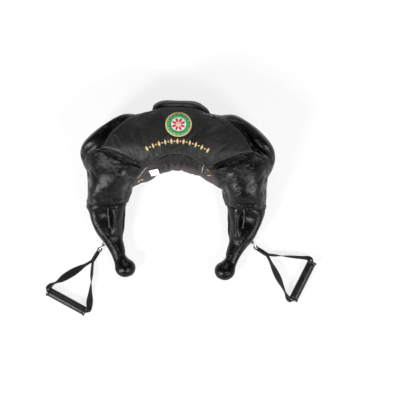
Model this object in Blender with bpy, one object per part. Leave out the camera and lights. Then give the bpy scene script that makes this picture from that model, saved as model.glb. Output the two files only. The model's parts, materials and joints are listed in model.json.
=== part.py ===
"""A horseshoe-shaped leather training bag with two grips and two strap handles.

The bag lies on the floor. X runs from the left grip to the right grip, +Y points
away from the grips, and Z is up. The origin is under the middle of the bag.
Lengths are in metres and angles in degrees, unless a name says otherwise.
"""

import math

import bpy
import bmesh
import numpy as np
from mathutils import Matrix, Vector

# Overall sizes of the filled bag
HALF_WIDTH = 0.278
REACH = 0.422
MIDDLE_HEIGHT = 0.187
BULB_DIAMETER = 0.058
BULB_FLAT = 0.0005
NECK_DIAMETER = 0.039
BULB_CENTRE_X = 0.146
GRIP_LEAN = 30.5
TIP_HOLE_DIAMETER = 0.003

# Leather shell and filling
LEATHER = 0.0025
SEAM_GAP = 0.0004
CLEARANCE = 0.0003
WRAP_THICKNESS = 0.030
CREASE_DEPTH = 0.012
ROLL_SWELL = 0.004
CROSS_SEAM_DEPTH = 0.008
GRIP_VALLEY_DEPTH = 0.009

# Collar and trim
COLLAR_LEATHER = 0.0018
COLLAR_PAD = 0.0045
BINDING_DIAMETER = 0.0036
EDGE_STRIP_THICKNESS = 0.0024
PIPING_DIAMETER = 0.0030
BACK_FLAP_THICKNESS = 0.010
EMBLEM_WIDTH = 0.0735
EMBLEM_HEIGHT = 0.068
EMBLEM_THICKNESS = 0.0012
EMBLEM_CENTRE_Y = 0.0215
LABEL_THICKNESS = 0.0006
LABEL_CLEARANCE = 0.0008

# Ring and its anchor
WIRE_DIAMETER = 0.004
RING_RADIUS = 0.011
RING_LIFT = 0.002
ANCHOR_REACH = 0.008
ANCHOR_WEB_WIDTH = 0.010
ANCHOR_WEB_THICKNESS = 0.0015
ANCHOR_SEAT = 0.0005
EYE_SLACK = 0.0012

# Strap and its webbing
WEB_WIDTH = 0.025
WEB_THICKNESS = 0.0017
NECK_LENGTH = 0.042
STRAP_LIFT = 0.0008
PLY_GAP = 0.0010
CORNER_RADIUS = 0.0095
CORNER_CLEARANCE = 0.003

# Handle
HANDLE_LENGTH = 0.130
TUBE_DIAMETER = 0.0236
BORE_DIAMETER = 0.0205
SLEEVE_DIAMETER = 0.0265
CAP_DIAMETER = 0.030
CAP_LENGTH = 0.0065
CAP_ROUNDING = 0.0016
TURNED_SIDES = 20

# Each rib is a cross-section of the bag between an inner and an outer end. Shares:
# inner x, inner y, outer x, outer y (x of HALF_WIDTH, y of REACH), underside and top
# (of MIDDLE_HEIGHT); then the angles of the inner top seam and the outer top seam,
# and the exponent that makes the section round (2) or boxy (more than 2).
RIB_SHARES = [
    (0.000, -0.230, 0.000, 0.209, 0.00, 1.000, 61, 146, 2.6),
    (0.050, -0.233, 0.173, 0.204, 0.00, 0.995, 61, 145, 2.6),
    (0.101, -0.241, 0.302, 0.156, 0.00, 0.984, 60, 152, 2.6),
    (0.147, -0.250, 0.432, 0.135, 0.00, 0.963, 57, 143, 2.6),
    (0.191, -0.261, 0.576, 0.133, 0.00, 0.936, 52, 129, 2.6),
    (0.227, -0.269, 0.766, 0.066, 0.00, 0.898, 49, 120, 2.6),
    (0.255, -0.277, 0.957, -0.047, 0.00, 0.856, 47, 112, 2.6),
    (0.316, -0.303, 1.000, -0.154, 0.00, 0.791, 42, 142, 2.6),
    (0.390, -0.327, 0.966, -0.261, 0.00, 0.727, 33, 172, 2.6),
    (0.460, -0.368, 0.953, -0.333, 0.00, 0.663, 10, 180, 2.6),
    (0.498, -0.424, 0.948, -0.420, 0.00, 0.588, 6, 180, 2.6),
    (0.522, -0.473, 0.949, -0.489, 0.00, 0.513, 5, 180, 2.5),
    (0.550, -0.522, 0.924, -0.550, 0.00, 0.449, 5, 180, 2.3),
    (0.565, -0.585, 0.874, -0.624, 0.00, 0.390, 5, 180, 2.2),
    (0.566, -0.663, 0.822, -0.701, 0.00, 0.342, 5, 180, 2.1),
    (0.566, -0.730, 0.749, -0.776, 0.01, 0.280, 5, 180, 2.0),
]
NECK_RIB = len(RIB_SHARES)
TIP_RIB = NECK_RIB + 1
INNER_LOW_SEAM = -45.0
OUTER_LOW_SEAM = 225.0
FLAT_SHARE = 1.15
FLAT_FADE = 3
NECK_LENGTH_SHARE = 0.62
FILLET_SHARE = 0.3
BULB_START = 60.0

# Places along the ribs where one piece ends and the next begins
COLLAR_END = 6
STRIP_END = 6.35
GUSSET_END = 9
BACK_MIDDLE_END = 2
CROSS_SEAM = 11
FLAP_END = 1.7
BULB_SHARES = [0, 0.15, 0.30, 0.45, 0.60, 0.75, 0.89, 1]
HALF_STATIONS = [0.65, FLAP_END, BACK_MIDDLE_END, 3, 3.5, 4, 4.5, 5, 5.5, COLLAR_END, STRIP_END, 6.7, 7, 7.5, 8,
                 GUSSET_END, 10, 10.6, CROSS_SEAM, 11.35, 12, 13, 14, 15]
HALF_STATIONS += [NECK_RIB + share for share in BULB_SHARES]
STATIONS = [-k for k in reversed(HALF_STATIONS)] + [0] + HALF_STATIONS

# Places round a section: each band between two seams counts one
BANDS = [
    [0.00, 0.30, 0.55, 0.78],
    [1.00, 1.18, 1.34, 1.50, 1.66, 1.82],
    [2.00, 2.135, 2.27, 2.50, 2.74],
    [3.00, 3.16, 3.38, 3.62, 3.84],
]
PLACES = [v for band in BANDS for v in band]
ROUND = len(PLACES)

# Where the leather is drawn in: first and last place along the ribs and round a
# section, or the middle place and the spread
CREASE_SPAN = (3.0, 8.0)
CREASE_BAND = (2.0, 2.27)
ROLL_SPAN = (2.6, 8.6)
ROLL_BAND = (2.135, 2.55)
CROSS_SEAM_SPREAD = 0.22
VALLEY_MIDDLE = 12.4
VALLEY_SPREAD = 0.75
VALLEY_BAND = (1.1, 1.9)

# The label's first and last place along the ribs and round a section
LABEL_SPAN = (-6.0, -3.5)
LABEL_BAND = (0.55, 0.83)

# What differs between the two sides in the photographed pose. Headings are degrees
# outward from -Y. Anchor is the place along the ribs, drop is how far the handle lies
# from the strap's neck, and flat shares say how far each leg turns flat at its middle.
SIDES = {
    "left": {"sign": -1, "anchor": 14.8, "ring": 36.0, "neck": 31.0, "strap": 30.5, "handle": 27.0,
             "drop": 0.139, "flat_shares": (0.75, 0.80)},
    "right": {"sign": 1, "anchor": 14.15, "ring": 37.0, "neck": 59.0, "strap": 55.5, "handle": 65.0,
              "drop": 0.127, "flat_shares": (0.80, 0.15)},
}

# The strap's neck, half of it: place along it and off its middle line, as shares of
# the neck's length and of half the gap between its two plies
NECK_SHARES = [(0.26, 1.0), (0.42, 1.0), (0.62, 1.0), (0.82, 1.0), (1.0, 1.3)]

# The strap's legs: place from the neck to the handle, width, thickness and turn, as
# shares of the leg, of the webbing and of the leg's own flat turn
LEG_SHARES = [
    (0.16, 0.62, 1.75, 0.15),
    (0.32, 0.82, 1.30, 0.60),
    (0.50, 1.00, 1.00, 1.00),
    (0.68, 1.00, 1.00, 1.00),
    (0.84, 0.85, 1.30, 0.50),
]
FULL_TURN = 85.0

# The strap's turn into the handle: share of the quarter turn, and the folded
# webbing's width as a share
CORNER_SHARES = [(0, 1.15), (1 / 3, 1.10), (2 / 3, 1.05), (1, 1.0)]

FINISHES = {
    "leather": ((0.030, 0.029, 0.028), 0.38, 0.0),
    "collar": ((0.045, 0.042, 0.040), 0.50, 0.0),
    "lining": ((0.020, 0.020, 0.020), 0.80, 0.0),
    "wool": ((0.62, 0.58, 0.50), 0.95, 0.0),
    "sand": ((0.66, 0.62, 0.54), 0.90, 0.0),
    "webbing": ((0.022, 0.022, 0.022), 0.75, 0.0),
    "steel": ((0.72, 0.72, 0.74), 0.22, 1.0),
    "plastic": ((0.028, 0.027, 0.028), 0.35, 0.0),
    "foam": ((0.050, 0.046, 0.048), 0.60, 0.0),
    "patch": ((0.10, 0.42, 0.24), 0.65, 0.0),
    "label": ((0.85, 0.85, 0.83), 0.80, 0.0),
}


def remove_scene_objects():
    """Starts from an empty scene."""
    for item in list(bpy.data.objects):
        bpy.data.objects.remove(item, do_unlink=True)


def material(finish):
    """The one material of a finish, made when it is first asked for."""
    found = bpy.data.materials.get(finish)
    if found:
        return found
    colour, roughness, metallic = FINISHES[finish]
    made = bpy.data.materials.new(finish)
    made.use_nodes = True
    shader = made.node_tree.nodes["Principled BSDF"]
    shader.inputs["Base Color"].default_value = (*colour, 1.0)
    shader.inputs["Roughness"].default_value = roughness
    shader.inputs["Metallic"].default_value = metallic
    made.diffuse_color = (*colour, 1.0)
    return made


def make_object(name, points, faces, finish, origin=(0, 0, 0), turn=0.0, smooth=False):
    """Makes one closed object whose faces point out. The points are in world places
    when turn is zero, and are turned about Z at the origin otherwise."""
    frame = Matrix.Translation(Vector(origin)) @ Matrix.Rotation(math.radians(turn), 4, "Z")
    shift = Vector(origin) if not turn else Vector((0, 0, 0))
    work = bmesh.new()
    corners = [work.verts.new(Vector(p) - shift) for p in points]
    for face in faces:
        work.faces.new([corners[i] for i in face])
    bmesh.ops.recalc_face_normals(work, faces=work.faces)
    if work.calc_volume(signed=True) < 0:
        bmesh.ops.reverse_faces(work, faces=work.faces)
    mesh = bpy.data.meshes.new(name)
    work.to_mesh(mesh)
    work.free()
    item = bpy.data.objects.new(name, mesh)
    item.data.materials.append(material(finish))
    item.matrix_world = frame
    bpy.context.scene.collection.objects.link(item)
    if smooth:
        mesh.shade_smooth()
        mesh.set_sharp_from_angle(angle=math.radians(40))
    return item


# The bag's surface


def window(value, low, high):
    """A smooth hump: one in the middle of low to high, and zero at both ends."""
    share = (value - low) / (high - low)
    return math.sin(math.pi * share) ** 2 if 0 < share < 1 else 0.0


def neck_rib():
    """The narrowest rib, between the grip's funnel and its bulb."""
    lean = math.radians(GRIP_LEAN)
    along = Vector((-math.sin(lean), -math.cos(lean), 0))
    side = Vector((math.cos(lean), -math.sin(lean), 0))
    middle = bulb_centre() - along * (BULB_DIAMETER * NECK_LENGTH_SHARE)
    inner = middle - side * (NECK_DIAMETER / 2)
    outer = middle + side * (NECK_DIAMETER / 2)
    low = bulb_centre().z - NECK_DIAMETER / 2
    return [inner.x, inner.y, outer.x, outer.y, low, low + NECK_DIAMETER, 5, 180, 2.0]


def bulb_centre():
    """The middle of the right grip's bulb."""
    return Vector((BULB_CENTRE_X, BULB_DIAMETER / 2 - REACH, BULB_DIAMETER / 2 - BULB_FLAT))


def rib_values():
    """All ribs of the right half in metres, with the mirrored second rib in front."""
    rows = []
    for ix, iy, ox, oy, low, top, inner_seam, outer_seam, boxy in RIB_SHARES:
        rows.append([ix * HALF_WIDTH, iy * REACH, ox * HALF_WIDTH, oy * REACH,
                     low * MIDDLE_HEIGHT, top * MIDDLE_HEIGHT, inner_seam, outer_seam, boxy])
    rows.append(neck_rib())
    mirrored = [-rows[1][0], rows[1][1], -rows[1][2], *rows[1][3:]]
    last = [2 * a - b for a, b in zip(rows[-1], rows[-2])]
    return np.array([mirrored, *rows, last])


RIBS = rib_values()


def rib_at(k):
    """The rib at any place k from the middle, 0, to the neck, by a smooth curve."""
    step = min(int(k), NECK_RIB - 1)
    t = k - step
    a, b, c, d = RIBS[step:step + 4]
    return 0.5 * (2 * b + (c - a) * t + (2 * a - 5 * b + 4 * c - d) * t * t
                  + (3 * b - a - 3 * c + d) * t ** 3)


def section_at(k):
    """Centre, side direction, half width, upper and lower half heights, lowest level,
    seam angles and exponent of the section at k, on the right half."""
    if k <= NECK_RIB:
        row = rib_at(k)
        inner = Vector((row[0], row[1], 0))
        outer = Vector((row[2], row[3], 0))
        low, top = row[4], row[5]
        middle = (low + top) / 2
        centre = (inner + outer) / 2 + Vector((0, 0, middle))
        flat = 1 + (FLAT_SHARE - 1) * max(0.0, min(1.0, (NECK_RIB - k) / FLAT_FADE))
        return centre, (outer - inner).normalized(), (outer - inner).length / 2, \
            top - middle, (middle - low) * flat, row[6], row[7], row[8]
    raise ValueError("a section past the neck belongs to the bulb")


def bulb_profile(share):
    """Place along the grip's axis from the bulb's centre, radius, and the outward
    direction in those terms, from the neck, 0, to the tip, 1."""
    bulb, neck = BULB_DIAMETER / 2, NECK_DIAMETER / 2
    slope = math.radians(BULB_START)
    if share < FILLET_SHARE:
        t = share / FILLET_SHARE
        end = (-bulb * math.cos(slope), bulb * math.sin(slope))
        start = (-BULB_DIAMETER * NECK_LENGTH_SHARE, neck)
        bend = (end[0] - (end[1] - neck) * math.tan(slope), neck)
        place, radius = ((1 - t) ** 2 * a + 2 * t * (1 - t) * b + t * t * c
                         for a, b, c in zip(start, bend, end))
        run, rise = ((1 - t) * (b - a) + t * (c - b) for a, b, c in zip(start, bend, end))
        length = math.hypot(run, rise)
        return place, radius, -rise / length, run / length
    tip = math.pi - math.asin(TIP_HOLE_DIAMETER / BULB_DIAMETER)
    angle = slope + (tip - slope) * (share - FILLET_SHARE) / (1 - FILLET_SHARE)
    return -bulb * math.cos(angle), bulb * math.sin(angle), -math.cos(angle), math.sin(angle)


def bulb_ring(k, inset):
    """Centre, side direction and radius of the grip's round end at k past the neck."""
    lean = math.radians(GRIP_LEAN)
    along = Vector((-math.sin(lean), -math.cos(lean), 0))
    side = Vector((math.cos(lean), -math.sin(lean), 0))
    place, radius, along_out, side_out = bulb_profile(min(1.0, k - NECK_RIB))
    return bulb_centre() + along * (place - inset * along_out), side, radius - inset * side_out


def angle_at(v, inner_seam, outer_seam):
    """The angle round a section of the place v, in bands between the seams."""
    seams = [INNER_LOW_SEAM, inner_seam, outer_seam, OUTER_LOW_SEAM, INNER_LOW_SEAM + 360]
    band = int(v % 4)
    return math.radians(seams[band] + (seams[band + 1] - seams[band]) * (v % 4 - band))


def dent(k, v, sin):
    """How far the leather is drawn in: the lobe's crease less the swell of its roll,
    the cross seam, which is deepest on top, and the valley on the grip."""
    around = v % 4
    crease = CREASE_DEPTH * window(k, *CREASE_SPAN) * window(around, *CREASE_BAND)
    crease -= ROLL_SWELL * window(k, *ROLL_SPAN) * window(around, *ROLL_BAND)
    seam = CROSS_SEAM_DEPTH * math.exp(-((k - CROSS_SEAM) / CROSS_SEAM_SPREAD) ** 2) * (1 + sin) / 2
    valley = GRIP_VALLEY_DEPTH * math.exp(-((k - VALLEY_MIDDLE) / VALLEY_SPREAD) ** 2)
    return crease + seam + valley * window(around, *VALLEY_BAND)


def surface(k, v, inset=0.0):
    """The point of the bag's surface at place k along it and v round it, moved in by
    inset. Negative k is the left half."""
    half = abs(k)
    if half <= NECK_RIB:
        centre, side, wide, up, down, inner_seam, outer_seam, boxy = section_at(half)
        wide, up, down = wide - inset, up - inset, down - inset
    else:
        centre, side, wide = bulb_ring(half, inset)
        up = down = wide
        inner_seam, outer_seam, boxy = 5, 180, 2.0
    angle = angle_at(v, inner_seam, outer_seam)
    cos, sin = math.cos(angle), math.sin(angle)
    x = -math.copysign(abs(cos) ** (2 / boxy), cos) * wide
    z = math.copysign(abs(sin) ** (2 / boxy), sin) * (up if sin > 0 else down)
    inward = dent(half, v, sin)
    point = centre + side * (x + cos * inward) + Vector((0, 0, z - sin * inward))
    point.z = max(point.z, inset)
    return Vector((math.copysign(1, k) * point.x, point.y, point.z)) if k else point


def outward(k, v):
    """The surface's outward direction at a place."""
    small = 0.01
    along = surface(k + small, v) - surface(k - small, v)
    around = surface(k, v + small) - surface(k, v - small)
    return along.cross(around).normalized()


def cell_places():
    """Every cell of the grid as its two indexes and its middle place."""
    for i in range(len(STATIONS) - 1):
        for j in range(ROUND):
            after = PLACES[j + 1] if j + 1 < ROUND else 4.0
            yield i, j, (STATIONS[i] + STATIONS[i + 1]) / 2, (PLACES[j] + after) / 2


def node_shift(cells, i, j):
    """Which way a node at the edge of a piece steps back into that piece."""
    along = around = 0
    for di in (-1, 0):
        for dj in (-1, 0):
            if (i + di, (j + dj) % ROUND) in cells:
                along += 1 if di == 0 else -1
                around += 1 if dj == 0 else -1
    return int(np.sign(along)), int(np.sign(around))


def shifted_place(i, j, along, around, step, inset):
    """A node's place after a step, in metres, square to the edges that meet there.
    Along and around say which way it goes, and zero means that edge runs on."""
    k, v = STATIONS[i], PLACES[j % ROUND]
    small = 0.02
    ahead = along or 1
    beside = around or 1
    here = surface(k, v, inset)
    run = (surface(k + small * ahead, v, inset) - here) * (ahead / small)
    rise = (surface(k, v + small * beside, inset) - here) * (beside / small)
    run_square = (run - rise * (run.dot(rise) / rise.length_squared)).length
    rise_square = (rise - run * (run.dot(rise) / run.length_squared)).length
    dk = along * step / run_square
    dv = around * step / rise_square
    if not along:
        dk = -dv * run.dot(rise) / run.length_squared
    if not around:
        dv = -dk * run.dot(rise) / rise.length_squared
    return k + dk, v + dv


def cell_triangles(corners, k):
    """A cell's two triangles, split the same way on every layer and mirrored on the
    two halves, so that layers never cross."""
    a, b, c, d = corners
    return [[a, b, c], [a, c, d]] if k > 0 else [[a, b, d], [b, c, d]]


def shell(name, inside, outer_inset, inner_inset, finish, margin=SEAM_GAP / 2):
    """A skin over every cell whose middle passes the test, between two insets, with
    its edges drawn back by margin."""
    cells = {(i, j) for i, j, k, v in cell_places() if inside(k, v)}
    nodes = sorted({(i + a, (j + b) % ROUND) for i, j in cells for a in (0, 1) for b in (0, 1)})
    number = {node: n for n, node in enumerate(nodes)}
    places = [shifted_place(i, j, *node_shift(cells, i, j), margin, outer_inset) for i, j in nodes]
    points = [surface(k, v, outer_inset) for k, v in places]
    points += [surface(k, v, inner_inset) for k, v in places]
    count = len(nodes)
    faces = []
    for i, j in sorted(cells):
        ring = [(i, j), (i + 1, j), (i + 1, (j + 1) % ROUND), (i, (j + 1) % ROUND)]
        corners = [number[node] for node in ring]
        for triangle in cell_triangles(corners, STATIONS[i] + STATIONS[i + 1]):
            faces.append(triangle)
            faces.append([n + count for n in reversed(triangle)])
        beyond = [(i, (j - 1) % ROUND), (i + 1, j), (i, (j + 1) % ROUND), (i - 1, j)]
        for edge, other in enumerate(beyond):
            if other not in cells:
                a, b = corners[edge], corners[(edge + 1) % 4]
                faces.append([b, a, a + count, b + count])
    return make_object(name, points, faces, finish)


def filling(name, low, high, inset, finish):
    """A closed filling between two places along the bag, with flat ends."""
    rows = [i for i, k in enumerate(STATIONS) if low <= k <= high]
    points = []
    for n, i in enumerate(rows):
        along = 1 if n == 0 else -1 if n == len(rows) - 1 else 0
        for j in range(ROUND):
            points.append(surface(*shifted_place(i, j, along, 0, SEAM_GAP / 2, inset), inset))
    faces = []
    for n in range(len(rows) - 1):
        for j in range(ROUND):
            a, b = n * ROUND + j, n * ROUND + (j + 1) % ROUND
            middle = STATIONS[rows[n]] + STATIONS[rows[n + 1]]
            faces += cell_triangles([a, a + ROUND, b + ROUND, b], middle)
    for first in (0, (len(rows) - 1) * ROUND):
        ring = list(range(first, first + ROUND))
        hub = len(points)
        points.append(sum((points[n] for n in ring), Vector()) / ROUND)
        faces += [[ring[n], ring[(n + 1) % ROUND], hub] for n in range(ROUND)]
    return make_object(name, points, faces, finish)


# The leather panels and what fills them


def side_of(k):
    return "left" if k < 0 else "right"


def panel_name(k, v):
    """Which leather panel covers a cell."""
    half, band, side = abs(k), int(v), side_of(k)
    if half > CROSS_SEAM:
        return f"grip_top_{side}" if band < 2 else f"grip_under_{side}"
    if band == 0:
        return "neck_gusset" if half < GUSSET_END else f"arm_top_{side}"
    if band == 1:
        return "crown_panel" if half < COLLAR_END else f"arm_top_{side}"
    if band == 2 and half < GUSSET_END:
        return "back_panel_middle" if half < BACK_MIDDLE_END else f"back_panel_{side}"
    if band == 3 and half < COLLAR_END:
        return "base_panel"
    return f"arm_under_{side}"


def make_panels():
    names = sorted({panel_name(k, v) for i, j, k, v in cell_places()})
    for name in names:
        shell(name, lambda k, v: panel_name(k, v) == name, 0.0, LEATHER, "leather")


def make_filling():
    """Wool wraps round three sand bags, and a solid core in each grip."""
    skin = LEATHER + CLEARANCE
    bag = skin + WRAP_THICKNESS
    spans = {"middle": (-COLLAR_END, COLLAR_END), "left": (-CROSS_SEAM, -COLLAR_END),
             "right": (COLLAR_END, CROSS_SEAM)}
    for part, (low, high) in spans.items():
        shell(f"wool_wrap_{part}", lambda k, v: low < k < high, skin, bag, "wool")
        filling(f"sand_bag_{part}", low, high, bag + CLEARANCE, "sand")
    filling("grip_core_left", -TIP_RIB, -CROSS_SEAM, skin, "wool")
    filling("grip_core_right", CROSS_SEAM, TIP_RIB, skin, "wool")


# The collar, its trim and the back flap


def collar_cell(k, v):
    return abs(k) < COLLAR_END and int(v) == 1


def make_collar():
    pad_top = CLEARANCE + COLLAR_PAD
    leather_low = pad_top + CLEARANCE
    shell("collar_pad", collar_cell, -pad_top, -CLEARANCE, "lining")
    shell("collar_leather", collar_cell, -leather_low - COLLAR_LEATHER, -leather_low, "collar")
    for side, sign in (("left", -1), ("right", 1)):
        shell(f"edge_strip_{side}",
              lambda k, v: COLLAR_END < k * sign < STRIP_END and int(v) == 1,
              -CLEARANCE - EDGE_STRIP_THICKNESS, -CLEARANCE, "collar")
    make_binding(-leather_low - COLLAR_LEATHER / 2)
    return leather_low + COLLAR_LEATHER


def make_binding(inset):
    """The rolled edge that runs round the collar, just outside its leather."""
    cells = {(i, j) for i, j, k, v in cell_places() if collar_cell(k, v)}
    first = STATIONS.index(-COLLAR_END)
    last = STATIONS.index(COLLAR_END)
    low = PLACES.index(1.0)
    high = PLACES.index(2.0)
    walk = [(i, low) for i in range(first, last)] + [(last, j) for j in range(low, high)]
    walk += [(i, high) for i in range(last, first, -1)] + [(first, j) for j in range(high, low, -1)]
    step = BINDING_DIAMETER / 2 + CLEARANCE
    points = []
    for i, j in walk:
        along, around = node_shift(cells, i, j)
        k, v = shifted_place(i, j, -along, -around, step, inset)
        points.append(surface(k, v, inset))
    tube("collar_binding", points, BINDING_DIAMETER / 2, 6, "collar", closed=True)


def make_piping():
    """A cord along each arm's outer top seam, lying on the leather."""
    inset = -PIPING_DIAMETER / 2 - CLEARANCE
    for side, sign in (("left", -1), ("right", 1)):
        places = [k for k in HALF_STATIONS if STRIP_END <= k <= CROSS_SEAM]
        points = [surface(sign * k, 2.0, inset) for k in places]
        tube(f"piping_{side}", points, PIPING_DIAMETER / 2, 6, "leather")


def make_back_flap():
    """The padded flap that closes the filling mouth at the back."""
    low, high = BANDS[2][2], BANDS[2][4]
    shell("back_flap", lambda k, v: abs(k) < FLAP_END and low < v < high,
          -CLEARANCE - BACK_FLAP_THICKNESS, -CLEARANCE, "leather")


def place_under(x, y, inset):
    """The place on the crown whose point, at an inset, has this x and y."""
    k, v = x / (HALF_WIDTH / COLLAR_END), 1.5
    small = 0.01
    for _ in range(12):
        here = surface(k, v, inset)
        dk = (surface(k + small, v, inset) - here) / small
        dv = (surface(k, v + small, inset) - here) / small
        miss_x, miss_y = x - here.x, y - here.y
        size = dk.x * dv.y - dv.x * dk.y
        k += (miss_x * dv.y - dv.x * miss_y) / size
        v += (dk.x * miss_y - miss_x * dk.y) / size
    return k, v


def make_emblem(collar_height):
    """A round embroidered patch with a flatter lower edge, laid on the collar."""
    rings, spokes = 4, 24
    low = -collar_height - 2 * CLEARANCE
    plan = [(0.0, 0.0)]
    for ring in range(1, rings + 1):
        for spoke in range(spokes):
            angle = 2 * math.pi * spoke / spokes
            x = math.cos(angle) * EMBLEM_WIDTH / 2
            y = max(math.sin(angle), -0.86) * EMBLEM_HEIGHT / 1.86
            plan.append((x * ring / rings, y * ring / rings))
    layers = []
    for inset in (low, low - EMBLEM_THICKNESS):
        layers.append([surface(*place_under(x, y + EMBLEM_CENTRE_Y, inset), inset) for x, y in plan])
    count = len(plan)
    faces = []
    for layer in (0, count):
        for spoke in range(spokes):
            after = (spoke + 1) % spokes
            faces.append([layer, layer + 1 + spoke, layer + 1 + after])
            for ring in range(rings - 1):
                a = layer + 1 + ring * spokes
                faces.append([a + spoke, a + spokes + spoke, a + spokes + after, a + after])
    rim = 1 + (rings - 1) * spokes
    for spoke in range(spokes):
        after = (spoke + 1) % spokes
        faces.append([rim + spoke, rim + after, rim + after + count, rim + spoke + count])
    make_object("emblem_patch", layers[0] + layers[1], faces, "patch")


def make_label():
    """A small blank tag on the gusset, left of the middle."""
    ks = np.linspace(*LABEL_SPAN, 4)
    vs = np.linspace(*LABEL_BAND, 4)
    points = []
    for inset in (-LABEL_CLEARANCE, -LABEL_CLEARANCE - LABEL_THICKNESS):
        points += [surface(k, v, inset) for k in ks for v in vs]
    wide = len(vs)
    count = len(ks) * wide
    faces = []
    for layer in (0, count):
        for a in range(len(ks) - 1):
            for b in range(wide - 1):
                n = layer + a * wide + b
                faces.append([n, n + 1, n + wide + 1, n + wide])
    rim = [b for b in range(wide)] + [a * wide + wide - 1 for a in range(1, len(ks))]
    rim += [count - 1 - b for b in range(1, wide)] + [a * wide for a in range(len(ks) - 2, 0, -1)]
    for n, a in enumerate(rim):
        b = rim[(n + 1) % len(rim)]
        faces.append([a, b, b + count, a + count])
    make_object("care_label", points, faces, "label")


# Swept and turned pieces


def tube(name, points, radius, sides, finish, closed=False, origin=(0, 0, 0)):
    """A round tube through the points, open with flat ends or closed on itself."""
    count = len(points)
    directions = []
    for n in range(count):
        before = points[n - 1] if n or closed else points[n]
        after = points[(n + 1) % count] if n + 1 < count or closed else points[n]
        directions.append((after - before).normalized())
    up = Vector((0, 0, 1))
    corners = []
    for point, direction in zip(points, directions):
        flat = direction.cross(up).normalized()
        lift = flat.cross(direction).normalized()
        for side in range(sides):
            angle = 2 * math.pi * side / sides
            corners.append(point + (flat * math.cos(angle) + lift * math.sin(angle)) * radius)
    faces = []
    for n in range(count if closed else count - 1):
        for side in range(sides):
            a, b = n * sides + side, n * sides + (side + 1) % sides
            c, d = ((n + 1) % count) * sides + (side + 1) % sides, ((n + 1) % count) * sides + side
            faces.append([a, b, c, d])
    if not closed:
        faces.append(list(range(sides)))
        faces.append([(count - 1) * sides + side for side in range(sides)])
    return make_object(name, corners, faces, finish, origin, smooth=True)


def ribbon(name, stations, finish, origin, closed):
    """A flat band swept through stations of four corners each."""
    corners = [corner for station in stations for corner in station]
    count = len(stations)
    faces = []
    for n in range(count if closed else count - 1):
        for side in range(4):
            a, b = n * 4 + side, n * 4 + (side + 1) % 4
            after = (n + 1) % count
            faces.append([a, b, after * 4 + (side + 1) % 4, after * 4 + side])
    if not closed:
        faces.append([0, 1, 2, 3])
        faces.append([(count - 1) * 4 + side for side in range(4)])
    return make_object(name, corners, faces, finish, origin)


def turned(name, profile, finish, centre, heading):
    """A ring-shaped piece turned about its own X axis, from a closed profile of
    places along the axis and radii, then turned to its heading."""
    points = []
    for x, radius in profile:
        for side in range(TURNED_SIDES):
            angle = 2 * math.pi * side / TURNED_SIDES
            points.append((x, radius * math.cos(angle), radius * math.sin(angle)))
    count = len(profile)
    faces = []
    for n in range(count):
        for side in range(TURNED_SIDES):
            a, b = n * TURNED_SIDES + side, n * TURNED_SIDES + (side + 1) % TURNED_SIDES
            shift = ((n + 1) % count - n) * TURNED_SIDES
            faces.append([a, b, b + shift, a + shift])
    return make_object(name, points, faces, finish, centre, heading, smooth=True)


# The ring, the strap and the handle of one side


def heading_vector(sign, degrees):
    """A level direction, given in degrees outward from -Y on one side."""
    angle = math.radians(degrees)
    return Vector((sign * math.sin(angle), -math.cos(angle), 0))


def lateral_vector(direction):
    """The level direction a quarter turn left of another."""
    return Vector((-direction.y, direction.x, 0))


def ring_height():
    return RING_RADIUS + WIRE_DIAMETER / 2 + RING_LIFT


def anchor_root(side):
    """The point on the grip's outer side, at the ring's height, where its loop starts."""
    k = side["sign"] * side["anchor"]
    low, high = 2.0, 3.0
    for _ in range(40):
        middle = (low + high) / 2
        if surface(k, middle).z > ring_height():
            low = middle
        else:
            high = middle
    return surface(k, low), outward(k, low)


def make_anchor(name, side, wire, root, normal):
    """The webbing loop that holds the ring: two tails that end on the leather."""
    forward = heading_vector(side["sign"], side["ring"])
    left = lateral_vector(forward)
    half_hole = WIRE_DIAMETER / 2 + EYE_SLACK / 2 + ring_sag(ANCHOR_WEB_WIDTH)
    middle = half_hole + ANCHOR_WEB_THICKNESS / 2
    path = []
    bend = 8
    for step in range(bend + 1):
        angle = math.pi * (step / bend - 0.5)
        path.append((Vector((math.cos(angle), math.sin(angle), 0)) * middle,
                     Vector((math.cos(angle), math.sin(angle), 0))))
    stations = []
    for place, away in path:
        centre = wire + forward * place.x + left * place.y
        out = forward * away.x + left * away.y
        stations.append(band_corners(centre, out, ANCHOR_WEB_THICKNESS, Vector((0, 0, 1)), ANCHOR_WEB_WIDTH))
    for end, sign in ((0, -1), (-1, 1)):
        tail = []
        for corner in stations[end]:
            reach = ((corner - root).dot(normal) - ANCHOR_SEAT) / forward.dot(normal)
            tail.append(corner - forward * reach)
        if end == 0:
            stations.insert(0, tail)
        else:
            stations.append(tail)
    return ribbon(name, stations, "webbing", tuple(wire), closed=False)


def ring_sag(width):
    """How far the ring's wire bends away from a straight line over a width."""
    half = width / 2
    return RING_RADIUS - math.sqrt(RING_RADIUS ** 2 - half ** 2)


def band_corners(centre, out, thickness, across, width):
    """The four corners of a band's section."""
    a = out * (thickness / 2)
    b = across * (width / 2)
    return [centre - a - b, centre + a - b, centre + a + b, centre - a + b]


def make_ring(name, centre, forward):
    steps = 24
    points = []
    for step in range(steps):
        angle = 2 * math.pi * step / steps
        points.append(centre + forward * (RING_RADIUS * math.cos(angle))
                      + Vector((0, 0, RING_RADIUS * math.sin(angle))))
    normal = lateral_vector(forward)
    sides = 8
    corners = []
    for point in points:
        radial = (point - centre).normalized()
        for side in range(sides):
            angle = 2 * math.pi * side / sides
            corners.append(point + (radial * math.cos(angle) + normal * math.sin(angle)) * WIRE_DIAMETER / 2)
    faces = []
    for n in range(steps):
        for side in range(sides):
            a, b = n * sides + side, n * sides + (side + 1) % sides
            after = (n + 1) % steps
            faces.append([a, b, after * sides + (side + 1) % sides, after * sides + side])
    wire = centre - forward * RING_RADIUS
    make_object(name, corners, faces, "steel", tuple(wire), smooth=True)


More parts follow.
